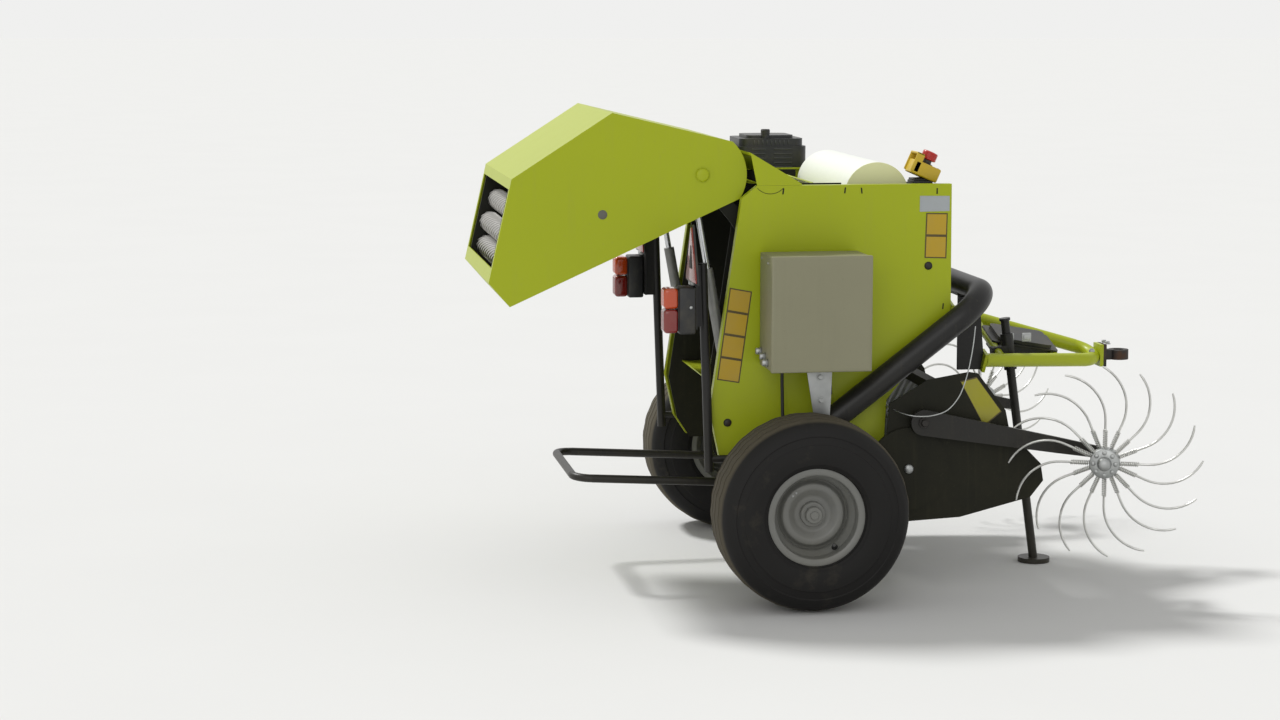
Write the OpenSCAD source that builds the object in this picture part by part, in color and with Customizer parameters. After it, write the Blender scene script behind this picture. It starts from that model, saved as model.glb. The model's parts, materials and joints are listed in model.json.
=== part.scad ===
/* [Bale chamber] */
// Radius of the finished bale
bale_r = 250; // [244:1:252]
// Clear width between the chamber walls
chamber_w = 520; // [480:1:560]
// Height of the chamber's centre above the ground
chamber_z = 735; // [732:1:738]
// Distance of the chamber's centre behind the axle
chamber_back = 135; // [132:1:137]
// Radius of each baling roller
roller_r = 27; // [24:0.5:27.5]
// Radius of a roller's shaft
roller_shaft_r = 10; // [8:0.5:12]
// Angle between two neighbouring rollers
roller_pitch = 12.6; // [12.4:0.1:13]
// Thickness of the chamber walls
wall_t = 4; // [3:0.5:6]

/* [Tailgate] */
// Height of the tailgate's hinge pin
hinge_z = 1005; // [1000:1:1010]
// Distance of the hinge pin behind the axle
hinge_back = 220; // [215:1:225]
// Free width for a ram beside each chamber wall
ram_space = 42; // [41:0.5:46]
// Thickness of the tailgate's skin
skin_t = 3; // [2:0.5:4]
// How far the tailgate stands open
gate_open = 57.2; // [40:0.1:60]
// Radius of the hinge pin
hinge_pin_r = 12; // [10:0.5:14]

/* [Body panels] */
// Distance from the tailgate's side plates out to the side panels
panel_gap = 30; // [28:0.5:34]
// Height of the body's flat top edge
panel_top = 980; // [970:1:985]
// Where the panel's front edge lies, ahead of the axle
panel_front = 380; // [370:1:390]
// Thickness of the side panels
panel_t = 3; // [2:0.5:4]
// Depth of the folded lip round a side panel
lip_depth = 22; // [15:1:30]

/* [Road wheels] */
// Outer radius of a tyre
tyre_r = 228.5; // [220:0.5:235]
// Width of a tyre
tyre_w = 200; // [190:1:205]
// Radius of the rim where the bead sits
rim_r = 101.6; // [98:0.1:106]
// Free space between the frame tube and a tyre
tyre_gap = 12; // [10:0.5:18]
// Radius of the stub axles
stub_r = 14; // [12:0.5:16]
// Side of the square axle beam
axle_side = 50; // [40:1:60]

/* [Main frame and drawbar] */
// Radius of the bent frame tube
frame_tube_r = 30; // [26:0.5:32]
// Free space between a side panel and the frame tube
leg_gap = 3; // [2:0.5:6]
// Slope of the frame's legs
frame_slope = 37.5; // [36:0.1:39]
// Where the frame's cross tube lies, ahead of the axle
cross_x = 468; // [460:1:475]
// Height of the frame's cross tube
cross_z = 715; // [708:1:722]
// Radius of the frame's bends
frame_bend_r = 95; // [90:1:110]
// Radius of the drawbar's tube
draw_tube_r = 17; // [14:0.5:19]
// Where the drawbar's nose lies, ahead of the axle
nose_x = 850; // [840:1:860]
// Height of the drawbar's nose
nose_z = 515; // [510:1:520]
// How far the drawbar is rolled, left arm up
draw_roll = 12.5; // [10:0.1:13]
// Radius of the bore in the towing eye
eye_bore_r = 13; // [12:0.1:15]

/* [Pickup] */
// Height of the pickup reel's shaft
reel_z = 300; // [296:1:306]
// Distance of the reel's shaft ahead of the axle
reel_x = 270; // [266:1:274]
// Radius to the tips of the reel's tines
tine_tip_r = 150; // [140:1:155]
// Distance from a side panel out to the pickup's side plate
pickup_gap = 44; // [42:0.5:48]
// Thickness of the pickup's side plates
pickup_t = 4; // [3:0.5:5]
// Number of tine bars on the reel
tine_bars = 4; // [3:1:5]
// Number of tines along each bar
tines_per_bar = 11; // [8:1:14]

/* [Star wheels] */
// Radius of the hub that carries the spring tines
star_hub_r = 35; // [32:0.5:37]
// Number of spring tines on a star wheel
star_tines = 16; // [12:1:18]
// Thickness of the tine wire
star_wire = 6; // [5:0.5:7]
// Radius of the curve at the end of a tine
star_curl_r = 105; // [95:1:110]
// Toe-in of the star wheels
star_toe = 22; // [15:1:25]

/* [Hidden] */
$fn = 48;
// Clearance of a turning shaft in its bore
run_gap = 0.05;
// Clearance between pieces that move past each other
move_gap = 6;
// Small gap between seated pieces
seat_gap = 0.3;

chamber_x = -chamber_back;
hinge_x = -hinge_back;
wall_y = chamber_w / 2;
wall_out_y = wall_y + wall_t;
gate_plate_t = 4;
gate_y = wall_out_y + ram_space + gate_plate_t;
gate_w = 2 * gate_y;
panel_y = gate_y + panel_gap;
panel_w = 2 * panel_y;
frame_leg_y = panel_y + leg_gap + frame_tube_r;
wheel_y = frame_leg_y + frame_tube_r + tyre_gap + tyre_w / 2;
pickup_y = panel_y + pickup_gap;
pickup_w = 2 * pickup_y;
roller_circle = bale_r + roller_r;

// Side outline of the shut tailgate as [x, z] from the hinge pin: crown, rear top, rear, foot and heel
crown_pt = [-26, 104];
rear_top_pt = [-241, -101];
rear_low_pt = [-241, -385];
foot_pt = [-66, -564];
heel_pt = [9, -553];
toe_pt = [97, 45];

// Where a tailgate point [x, z] lies once the tailgate is open
function opened_pt(p) = [
    hinge_x + p.x * cos(gate_open) + p.y * sin(gate_open),
    hinge_z - p.x * sin(gate_open) + p.y * cos(gate_open)
];

eye_x = nose_x + 70;
eye_out_r = 26;
front_x = eye_x + eye_out_r;
rear_x = min([for (p = [crown_pt, rear_top_pt, rear_low_pt, foot_pt]) opened_pt(p).x]);
// The part's origin is on the ground, in the middle of its length
centre_x = (front_x + rear_x) / 2;

paint = [0.55, 0.63, 0.10];
dark = [0.10, 0.10, 0.11];
steel = [0.62, 0.62, 0.60];
rubber = [0.07, 0.07, 0.07];
red = [0.70, 0.10, 0.08];

// A flat piece drawn in the side view, t thick, whose middle lies at y
module side_plate(y, t) {
    translate([0, y + t / 2, 0])
        rotate([90, 0, 0])
            linear_extrude(t)
                children();
}

// A round bar from point a to point b
module bar(a, b, r) {
    v = b - a;
    translate(a)
        rotate([0, acos(v.z / norm(v)), atan2(v.y, v.x)])
            cylinder(h = norm(v), r = r);
}

// A square-cornered bar along y between two heights and two x
module cross_bar(x1, x2, z1, z2, half_w) {
    translate([x1, -half_w, z1])
        cube([x2 - x1, 2 * half_w, z2 - z1]);
}

// A shaft along y, centred on the machine's middle plane
module shaft_y(x, z, r, len) {
    translate([x, len / 2, z])
        rotate([90, 0, 0])
            cylinder(h = len, r = r);
}

// A rectangle with round corners about its middle
module rounded(w, d, r) {
    square([w - 2 * r, d], center = true);
    square([w, d - 2 * r], center = true);
    for (x = [-1, 1])
        for (y = [-1, 1])
            translate([x * (w / 2 - r), y * (d / 2 - r)])
                circle(r);
}

// Both sides of the machine: the right side as drawn and its mirror image
module both_sides() {
    children();
    mirror([0, 1, 0])
        children();
}

// Puts a piece on the right (side -1) or mirrors it to the left (side 1)
module on_side(side) {
    if (side < 0)
        children();
    else
        mirror([0, 1, 0])
            children();
}

// Everything is drawn from the axle's middle and then moved to the part's origin
module placed() {
    translate([-centre_x, 0, 0])
        children();
}

// Turns what is drawn on the shut tailgate to where it stands open
module opened() {
    translate([hinge_x, 0, hinge_z])
        rotate([0, gate_open, 0])
            translate([-hinge_x, 0, -hinge_z])
                children();
}

// Baling rollers: the first angle and how many, for the body and for the tailgate
body_roller_first = 48;
body_roller_count = 5;
gate_roller_first = 160;
gate_roller_count = 7;

function roller_at(angle) = [
    chamber_x + roller_circle * cos(angle),
    chamber_z + roller_circle * sin(angle)
];
function body_roller_angle(i) = body_roller_first - i * roller_pitch;
function gate_roller_angle(i) = gate_roller_first + i * roller_pitch;

// Road wheels

rim_t = 3;
rim_flange = 13;
hub_r = 28;
bead_y = tyre_w / 2 - 22;
well_r = rim_r - 14;
disc_y = 24;

// A solid tyre ring whose beads lie between the rim's flanges
module tyre(side) {
    half = [
        [rim_r + seat_gap, bead_y - seat_gap],
        [rim_r + rim_flange + 2, bead_y - seat_gap],
        [rim_r + 32, tyre_w / 2 - 4],
        [rim_r + 62, tyre_w / 2],
        [rim_r + 90, tyre_w / 2 - 5],
        [tyre_r - 12, tyre_w / 2 - 18],
        [tyre_r - 2, tyre_w / 2 - 34],
        [tyre_r, tyre_w / 2 - 60]
    ];
    last = len(half) - 1;
    color(rubber)
        on_side(side)
            translate([0, -wheel_y, tyre_r])
                rotate([90, 0, 0])
                    rotate_extrude($fn = 96)
                        polygon(concat(half, [for (i = [last : -1 : 0]) [half[i].x, -half[i].y]]));
}

// The rolled channel that holds the tyre, as [radius, distance out from the wheel's middle]
module rim_channel() {
    polygon([
        [rim_r + rim_flange, -bead_y - rim_t],
        [rim_r + rim_flange, -bead_y],
        [rim_r, -bead_y],
        [rim_r, -bead_y + 26],
        [well_r, -bead_y + 36],
        [well_r, bead_y - 40],
        [rim_r, bead_y - 26],
        [rim_r, bead_y],
        [rim_r + rim_flange, bead_y],
        [rim_r + rim_flange, bead_y + rim_t],
        [rim_r - rim_t, bead_y + rim_t],
        [rim_r - rim_t, bead_y - 24],
        [well_r - rim_t, bead_y - 38],
        [well_r - rim_t, -bead_y + 34],
        [rim_r - rim_t, -bead_y + 24],
        [rim_r - rim_t, -bead_y - rim_t]
    ]);
}

// The dished disc between the hub and the channel
module rim_disc() {
    polygon([
        [well_r - 1, disc_y - 4],
        [well_r - 1, disc_y + 2],
        [72, disc_y + 16],
        [60, disc_y + 16],
        [46, disc_y + 4],
        [hub_r - 2, disc_y + 4],
        [hub_r - 2, disc_y],
        [47, disc_y],
        [61, disc_y + 12],
        [71, disc_y + 12],
        [well_r - 4, disc_y - 4]
    ]);
}

hub_in_y = -46;
hub_out_y = disc_y + 18;
hub_cap_r = 19;
hub_cap_len = 14;

// A dished disc wheel with its hub, which turns on the stub axle
module rim(side) {
    color(steel)
        on_side(side)
            translate([0, -wheel_y, tyre_r])
                rotate([90, 0, 0]) {
                    rotate_extrude($fn = 96) {
                        rim_channel();
                        rim_disc();
                        translate([stub_r + run_gap, hub_in_y])
                            square([hub_r - stub_r - run_gap, hub_out_y - hub_in_y]);
                        translate([0, hub_out_y - 0.5])
                            square([hub_cap_r, hub_cap_len]);
                    }
                }
}

stub_len = hub_out_y - hub_in_y - 2;
stub_start_y = wheel_y + hub_in_y - seat_gap;

// The square beam under the machine with a stub axle at each end
module axle_beam() {
    half = axle_side / 2;
    color(dark)
        both_sides()
            union() {
                cross_bar(-half, half, tyre_r - half, tyre_r + half, stub_start_y - 14);
                translate([-half - 40, -panel_y, tyre_r + half - 1])
                    cube([2 * half + 80, panel_y - wall_y, body_bottom - seat_gap - tyre_r - half + 1]);
                translate([0, -stub_start_y + 14, tyre_r])
                    rotate([90, 0, 0])
                        cylinder(h = 14, r = hub_r);
                translate([0, -stub_start_y + 1, tyre_r])
                    rotate([90, 0, 0])
                        cylinder(h = stub_len, r = stub_r);
            }
}

// Main frame and drawbar

leg_front_x = cross_x - frame_bend_r * cos(frame_slope);
leg_foot_x = 10;
function leg_z(x) = cross_z + (x - cross_x) * tan(frame_slope);

// One bent tube: two legs that slope up and forward, joined by a cross tube in front
module main_frame() {
    leg_len = (leg_front_x - leg_foot_x) / cos(frame_slope);
    corner_y = frame_leg_y - frame_bend_r;
    foot_z = leg_z(leg_foot_x);
    bottom_z = tyre_r + axle_side / 2 + seat_gap;
    color(dark)
        union() {
            translate([cross_x, 0, cross_z])
                rotate([0, -frame_slope, 0]) {
                    translate([0, corner_y, 0])
                        rotate([90, 0, 0])
                            cylinder(h = 2 * corner_y, r = frame_tube_r);
                    both_sides()
                        translate([-frame_bend_r, -corner_y, 0])
                            rotate([0, 0, -90])
                                rotate_extrude(angle = 90)
                                    translate([frame_bend_r, 0])
                                        circle(frame_tube_r);
                    both_sides()
                        translate([-frame_bend_r - leg_len, -frame_leg_y, 0])
                            rotate([0, 90, 0])
                                cylinder(h = leg_len, r = frame_tube_r);
                }
            both_sides()
                side_plate(-frame_leg_y, 16)
                    polygon([
                        [leg_foot_x - 34, bottom_z],
                        [leg_foot_x + 46, bottom_z],
                        [leg_foot_x + 90, leg_z(leg_foot_x + 90)],
                        [leg_foot_x + 8, foot_z],
                        [leg_foot_x - 20, foot_z]
                    ]);
            frame_brackets();
        }
}

draw_foot_x = 478;
draw_foot_y = 190;
draw_foot_z = 572;
bracket_t = 8;
pad_back = 6;

// Plates that hang from the cross tube and carry the drawbar's two ends
module frame_brackets() {
    for (side = [-1, 1]) {
        high = draw_pt(-pad_back - 0.5, side * draw_foot_y, 20);
        low = draw_pt(-pad_back - 0.5, side * draw_foot_y, -24);
        side_plate(side * draw_foot_y * cos(draw_roll), bracket_t)
            polygon([
                [cross_x - 26, cross_z],
                [cross_x + 26, cross_z],
                [high.x, high.z],
                [low.x, low.z],
                [low.x - 58, low.z]
            ]);
    }
}

nose_bend_r = 60;
arm_start_x = draw_foot_x + 40;
// The bent nose is pushed a little way into the two arms
nose_overlap = 3;
nose_lap_angle = 3;
tie_x = [575, 735];
tie_r = 10;
nose_pad_x = nose_x + 13;
nose_pad = 9;

// The drawbar lies in one plane, which slopes down to its nose and is rolled to one side
draw_slope = atan2(draw_foot_z - nose_z, nose_x - arm_start_x);
draw_reach = norm([nose_x - arm_start_x, draw_foot_z - nose_z]);
bend_x = draw_reach - nose_bend_r;
// Half the angle between the two arms, so that each arm is tangent to the nose's bend
arm_angle = atan2(draw_foot_y, bend_x) - asin(nose_bend_r / norm([bend_x, draw_foot_y]));
arm_len = sqrt(pow(bend_x, 2) + pow(draw_foot_y, 2) - pow(nose_bend_r, 2));

// Places a piece in the drawbar's own plane, from the middle of its two feet
module in_draw_plane() {
    translate([arm_start_x, 0, draw_foot_z])
        rotate([0, draw_slope, 0])
            rotate([draw_roll, 0, 0])
                children();
}

// Where a point of the drawbar's own plane lies: u forward, v to the left, w up from the plane
function draw_pt(u, v, w) = let (up = v * sin(draw_roll) + w * cos(draw_roll)) [
    arm_start_x + u * cos(draw_slope) + up * sin(draw_slope),
    v * cos(draw_roll) - w * sin(draw_roll),
    draw_foot_z - u * sin(draw_slope) + up * cos(draw_slope)
];
function tie_u(i) = (tie_x[i] - arm_start_x) / cos(draw_slope);
function half_at(u) = draw_foot_y - u * tan(arm_angle);

// One of the two cross ties, drawn in the drawbar's own plane
module tie(i, r) {
    translate([tie_u(i), half_at(tie_u(i)), 0])
        rotate([90, 0, 0])
            cylinder(h = 2 * half_at(tie_u(i)), r = r);
}

// A bent tube like a V with a round nose, two cross ties and a pad for the towing eye
module drawbar() {
    color(paint)
        union() {
            in_draw_plane() {
                both_sides()
                    translate([0, -draw_foot_y, 0])
                        rotate([0, 90, arm_angle])
                            cylinder(h = arm_len + nose_overlap, r = draw_tube_r);
                translate([bend_x, 0, 0])
                    rotate([0, 0, -90 + arm_angle - nose_lap_angle])
                        rotate_extrude(angle = 180 - 2 * arm_angle + 2 * nose_lap_angle)
                            translate([nose_bend_r, 0])
                                circle(draw_tube_r - 0.4);
                both_sides()
                    translate([-pad_back, -draw_foot_y - 24, -24])
                        cube([8, 48, 46]);
                tie(0, tie_r);
                tie(1, tie_r);
            }
            translate([nose_pad_x, -28, nose_z - 28])
                cube([nose_pad, 56, 56]);
        }
}

// A forged ring on a bolted foot, which drops over the towing vehicle's pin
module towing_eye() {
    foot_x = nose_pad_x + nose_pad;
    eye_t = 25;
    color(dark)
        difference() {
            union() {
                translate([foot_x, -28, nose_z - 28])
                    cube([8, 56, 56]);
                translate([foot_x, -14, nose_z - eye_t / 2])
                    cube([eye_x - foot_x, 28, eye_t]);
                translate([eye_x, 0, nose_z - eye_t / 2])
                    cylinder(h = eye_t, r = eye_out_r);
            }
            translate([eye_x, 0, nose_z - eye_t])
                cylinder(h = 2 * eye_t, r = eye_bore_r);
        }
}

// Parking stand

stand_x = 602;
stand_y = -90;
stand_z = 540;
stand_lean = 8;
stand_leg_r = 11;
stand_tube_r = 16;
stand_foot_r = 40;

// Along the stand's own line, from where it passes the drawbar's first tie
module on_stand() {
    translate([stand_x, stand_y, stand_z])
        rotate([0, -stand_lean, 0])
            children();
}

stand_low = stand_z / cos(stand_lean);

// A tube clamped to the drawbar's first tie, which guides the parking leg
module stand_sleeve() {
    color(dark)
        difference() {
            on_stand()
                union() {
                    translate([0, 0, -46])
                        cylinder(h = 92, r = stand_tube_r);
                    translate([-44, -15, -15])
                        cube([44, 30, 32]);
                }
            on_stand()
                translate([0, 0, -60])
                    cylinder(h = 120, r = stand_leg_r + run_gap);
            in_draw_plane()
                tie(0, tie_r + seat_gap);
        }
}

// The leaning leg with its flat foot plate and the cap on top
module stand_leg() {
    color(dark)
        union() {
            on_stand()
                translate([0, 0, -stand_low + 6])
                    cylinder(h = stand_low + 74, r = stand_leg_r);
            translate([stand_x + stand_z * tan(stand_lean), stand_y, 0])
                cylinder(h = 12, r = stand_foot_r);
            on_stand()
                translate([0, 0, 79])
                    cylinder(h = 6, r = stand_leg_r + 3);
        }
}

// Body of the bale chamber

// Side outline of the body, behind its rounded lower corners, as [x, z]
body_bottom = 285;
body_outline = [
    [-94, panel_top],
    [panel_front, panel_top],
    [panel_front + 2, 640],
    [panel_front - 44, 600],
    [226, 462],
    [219, 330],
    [190, body_bottom],
    [-150, body_bottom],
    [-183, 335],
    [-206, 444],
    [-131, 950]
];

wall_bearing_r = roller_shaft_r + run_gap;
// Above this height the inner walls stop short of the panel's front edge
wall_notch_z = 620;

// An inner wall: it carries the body's rollers in round holes
module chamber_wall(side) {
    color(dark)
        on_side(side)
            difference() {
                union() {
                    side_plate(-wall_y - wall_t / 2, wall_t)
                        difference() {
                            polygon(body_outline);
                            translate([hinge_x, hinge_z])
                                circle(norm(toe_pt) + move_gap);
                            translate([panel_front - 60, wall_notch_z])
                                square([80, panel_top]);
                            translate([net_x - net_r - move_gap, tray_z - seat_gap])
                                square([400, 400]);
                        }
                    wall_fittings();
                }
                for (i = [0 : body_roller_count - 1])
                    translate([roller_at(body_roller_angle(i)).x, 0, roller_at(body_roller_angle(i)).y])
                        rotate([90, 0, 0])
                            cylinder(h = panel_y, r = wall_bearing_r);
                reel_bore();
            }
}

module reel_bore() {
    translate([reel_x, 0, reel_z])
        rotate([90, 0, 0])
            cylinder(h = panel_y + 1, r = tine_tip_r + 12);
}

// The same outline moved inwards by d; its points run clockwise or the other way round
function unit(v) = v / norm(v);
function turn_of(p) = sign(sum([for (i = [0 : len(p) - 1]) cross(p[i], p[(i + 1) % len(p)])]));
function sum(v, i = 0) = i < len(v) ? v[i] + sum(v, i + 1) : 0;
function side_normal(a, b, turn) = turn * [-(b - a).y, (b - a).x] / norm(b - a);
function inset_corner(a, b, c, d, turn) = let (
    n1 = side_normal(a, b, turn),
    n2 = side_normal(b, c, turn)
) b + d * (n1 + n2) / (1 + n1 * n2);
function inset(p, d) = let (n = len(p), turn = turn_of(p)) [
    for (i = [0 : n - 1]) inset_corner(p[(i + n - 1) % n], p[i], p[(i + 1) % n], d, turn)
];

// An outer side panel: a flat sheet with a folded lip all round
module side_panel(side) {
    color(paint)
        on_side(side)
            union() {
                difference() {
                    side_plate(-panel_y + lip_depth / 2, lip_depth)
                        polygon(body_outline);
                    side_plate(-panel_y + panel_t + lip_depth / 2, lip_depth)
                        polygon(inset(body_outline, panel_t));
                }
                lift_pin();
            }
}

cover_top = panel_top + 78;
cover_back = -110;
cover_front = 14;
cover_foot = panel_top + seat_gap;
cover_outline = [
    [cover_back, cover_top], [cover_front, panel_top + 4], [cover_front, cover_foot], [cover_back + 16, cover_foot]
];

// The hood behind the net roll: a sloping sheet with a cheek at each side
module upper_cover() {
    low = cover_foot - 20;
    inner = [
        [cover_back - 10, cover_top], [cover_front - 4, panel_top + 4 - skin_t],
        [cover_front - 4, low], [cover_back, low]
    ];
    color(paint)
        difference() {
            side_plate(0, panel_w)
                polygon(cover_outline);
            side_plate(0, panel_w - 2 * panel_t)
                polygon(inner);
        }
}

// A ring's stretch between two angles, about the chamber's centre
module chamber_arc(r1, r2, a1, a2) {
    far = 2 * r2;
    mid = (a1 + a2) / 2;
    translate([chamber_x, chamber_z])
        intersection() {
            difference() {
                circle(r2, $fn = 128);
                circle(r1, $fn = 128);
            }
            polygon([[0, 0], far * [cos(a1), sin(a1)], far * [cos(mid), sin(mid)], far * [cos(a2), sin(a2)]]);
        }
}

sheet_t = 3;
// Where each curved sheet starts and ends, as angles about the chamber's middle
roof_arc = [58, 82];
front_arc = [-14, 52];
floor_arc = [262, 288];
front_sheet_r = roller_circle + roller_r + move_gap;

// Curved sheets that close the chamber between the walls, and the floor and roof of the throat
module chamber_sheet() {
    color(paint)
        side_plate(0, chamber_w) {
            chamber_arc(bale_r, bale_r + sheet_t, roof_arc[0], roof_arc[1]);
            chamber_arc(front_sheet_r, front_sheet_r + sheet_t, front_arc[0], front_arc[1]);
            chamber_arc(bale_r, bale_r + sheet_t, floor_arc[0], floor_arc[1]);
            polygon([[-58, 497], [-60, 493], [96, 300], [100, 300]]);
        }
}

bearing_out_r = 22;
bearing_len = 8;

// Flanged bearings on the outside of the walls, one pair for each body roller
module body_bearings() {
    color(steel)
        both_sides()
            for (i = [0 : body_roller_count - 1])
                translate([
                    roller_at(body_roller_angle(i)).x,
                    -wall_out_y,
                    roller_at(body_roller_angle(i)).y
                ])
                    bearing();
}

module bearing() {
    rotate([90, 0, 0])
        difference() {
            cylinder(h = bearing_len, r = bearing_out_r);
            translate([0, 0, -1])
                cylinder(h = bearing_len + 2, r = wall_bearing_r);
        }
}

roller_face = chamber_w - 2 * move_gap;
roller_len = 2 * (wall_out_y + bearing_len);
roller_ribs = 11;
roller_root_r = roller_r - 2.5;
roller_tube_t = 3;

// The ribbed outline of a baling roller
module ribbed() {
    step = 360 / roller_ribs;
    polygon([
        for (i = [0 : roller_ribs - 1])
            for (p = [[roller_root_r, 0], [roller_r, 3], [roller_r, 12], [roller_root_r, 15]])
                p.x * [cos(i * step + p.y), sin(i * step + p.y)]
    ]);
}

// A baling roller about a point [x, z]: a ribbed tube on end discs with holes, and its shaft
module roller(at) {
    bore_r = roller_root_r - roller_tube_t;
    color(steel)
        translate([at.x, 0, at.y])
            union() {
                side_plate(0, roller_face)
                    difference() {
                        ribbed();
                        circle(bore_r);
                    }
                both_sides()
                    side_plate(-roller_face / 2 + 10, 6)
                        difference() {
                            circle(bore_r + 0.5);
                            for (a = [0 : 120 : 240])
                                rotate(a)
                                    translate([(bore_r + roller_shaft_r) / 2, 0])
                                        circle(4);
                        }
                shaft_y(0, 0, roller_shaft_r, roller_len);
            }
}

module body_roller(i) {
    roller(roller_at(body_roller_angle(i)));
}

module gate_roller(i) {
    opened()
        roller(roller_at(gate_roller_angle(i)));
}

// Tailgate

gate_arc_start = atan2(toe_pt.y, toe_pt.x);
gate_arc_end = atan2(crown_pt.y, crown_pt.x);
gate_arc_steps = 10;
// The tailgate's side outline about its hinge pin: four corners, the split edge and the round front corner
gate_outline = concat(
    [rear_top_pt, rear_low_pt, foot_pt, heel_pt],
    [
        for (i = [0 : gate_arc_steps])
            let (a = gate_arc_start + (gate_arc_end - gate_arc_start) * i / gate_arc_steps)
                norm(toe_pt) * [cos(a), sin(a)]
    ]
);
window_low = 0.86;
window_high = 0.10;
window_w = gate_w - 2 * 14;

module at_hinge() {
    translate([hinge_x, hinge_z])
        children();
}

// A point part of the way from the rear face's low corner to the foot, moved out by d
function rear_face_pt(f, d) = rear_low_pt + f * (foot_pt - rear_low_pt)
    + d * unit([(foot_pt - rear_low_pt).y, -(foot_pt - rear_low_pt).x]);

// The welded shell: side plates, crown, rear faces and the window over the rollers
module tailgate_skin() {
    cavity_y = gate_w - 2 * gate_plate_t;
    color(paint)
        opened()
            difference() {
                side_plate(0, gate_w)
                    at_hinge()
                        polygon(gate_outline);
                side_plate(0, cavity_y)
                    at_hinge()
                        polygon(inset(gate_outline, skin_t));
                side_plate(0, cavity_y)
                    at_hinge()
                        polygon([heel_pt - [20, -4], heel_pt + [40, 0], toe_pt + [40, 0], toe_pt - [10, 6]]);
                side_plate(0, window_w)
                    at_hinge()
                        polygon([
                            rear_face_pt(window_high, -20),
                            rear_face_pt(window_high, 20),
                            rear_face_pt(window_low, 20),
                            rear_face_pt(window_low, -20)
                        ]);
                shaft_y(hinge_x, hinge_z, hinge_pin_r + run_gap, gate_w + 2);
            }
}

ram_eye = [-84.8, 10.6];
ram_pin_r = 6;

// The tailgate's inner walls with its roller bearings, curved sheet and the pins for the two rams
module tailgate_walls() {
    color(dark)
        opened()
            union() {
                difference() {
                    both_sides()
                        side_plate(-wall_y - wall_t / 2, wall_t)
                            at_hinge()
                                difference() {
                                    polygon(inset(gate_outline, skin_t + seat_gap));
                                    circle(26);
                                }
                    for (i = [0 : gate_roller_count - 1])
                        let (at = roller_at(gate_roller_angle(i)))
                            shaft_y(at.x, at.y, wall_bearing_r, gate_w);
                }
                both_sides() {
                    for (i = [0 : gate_roller_count - 1])
                        let (at = roller_at(gate_roller_angle(i)))
                            translate([at.x, -wall_out_y, at.y])
                                bearing();
                    translate([hinge_x + ram_eye.x, -wall_out_y + 1, hinge_z + ram_eye.y])
                        rotate([90, 0, 0])
                            cylinder(h = gate_y - gate_plate_t - wall_out_y + 1, r = ram_pin_r);
                }
                side_plate(0, chamber_w + 1)
                    chamber_arc(bale_r, bale_r + sheet_t, 100, 152);
            }
}

// Rams that open the tailgate

ram_foot = [-135, 405];
ram_tube_r = 13;
ram_y = wall_out_y + ram_tube_r + 4;
ram_rod_r = 7;
ram_eye_gap = 7;
ram_tube_len = 380;
ram_eye_pt = opened_pt(ram_eye);
ram_dir = unit(ram_eye_pt - ram_foot);

function on_ram(d) = [ram_foot.x + d * ram_dir.x, -ram_y, ram_foot.y + d * ram_dir.y];

// The ram's tube, with its foot eye round the pin on the body
module ram_barrel(side) {
    color(steel)
        on_side(side)
            difference() {
                union() {
                    bar(on_ram(0), on_ram(ram_tube_len), ram_tube_r);
                    shaft_piece(ram_foot, ram_y, 15, 2 * ram_tube_r - 2);
                }
                bar(on_ram(24), on_ram(ram_tube_len + 1), ram_rod_r + run_gap);
                shaft_piece(ram_foot, ram_y, ram_pin_r + run_gap, 60);
            }
}

// A short cylinder along y about [x, z], whose middle lies on the right at distance y
module shaft_piece(at, y, r, len) {
    translate([at.x, -y + len / 2, at.y])
        rotate([90, 0, 0])
            cylinder(h = len, r = r);
}

// The ram's rod, with a wide eye round the pin on the tailgate
module ram_rod(side) {
    len = norm(ram_eye_pt - ram_foot);
    color(steel)
        on_side(side)
            difference() {
                union() {
                    bar(on_ram(ram_tube_len - 160), on_ram(len - 12), ram_rod_r);
                    shaft_piece(ram_eye_pt, ram_y, ram_pin_r + ram_eye_gap + 4, 12);
                }
                shaft_piece(ram_eye_pt, ram_y, ram_pin_r + ram_eye_gap, 30);
            }
}

// Pins and arms that the body's walls carry: hinge arms above, ram pins below
module wall_fittings() {
    arm_t = 6;
    arm_y = gate_y - gate_plate_t - 1 - arm_t;
    pin_len = 20;
    union() {
        side_plate(-arm_y, arm_t)
            polygon([
                [hinge_x - 16, hinge_z - 10],
                [hinge_x + 14, hinge_z - 14],
                [-100, 900],
                [-100, 850],
                [-124, 850],
                [-150, 890]
            ]);
        shaft_piece([hinge_x, hinge_z], arm_y, 22, arm_t);
        shaft_piece([hinge_x, hinge_z], arm_y + 7, hinge_pin_r, pin_len);
        side_plate(-(wall_out_y + arm_y) / 2, arm_y - wall_out_y)
            translate([-122, 852])
                square([20, 44]);
        shaft_piece(ram_foot, (wall_out_y + arm_y) / 2, ram_pin_r, arm_y - wall_out_y);
    }
}

// Net roll and its tray

net_x = 213;
net_z = 950;
net_r = 80;
net_core_r = 20;
net_w = chamber_w + 20;
tray_t = 3;
tray_z = net_z - net_r - move_gap - tray_t;

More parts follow.
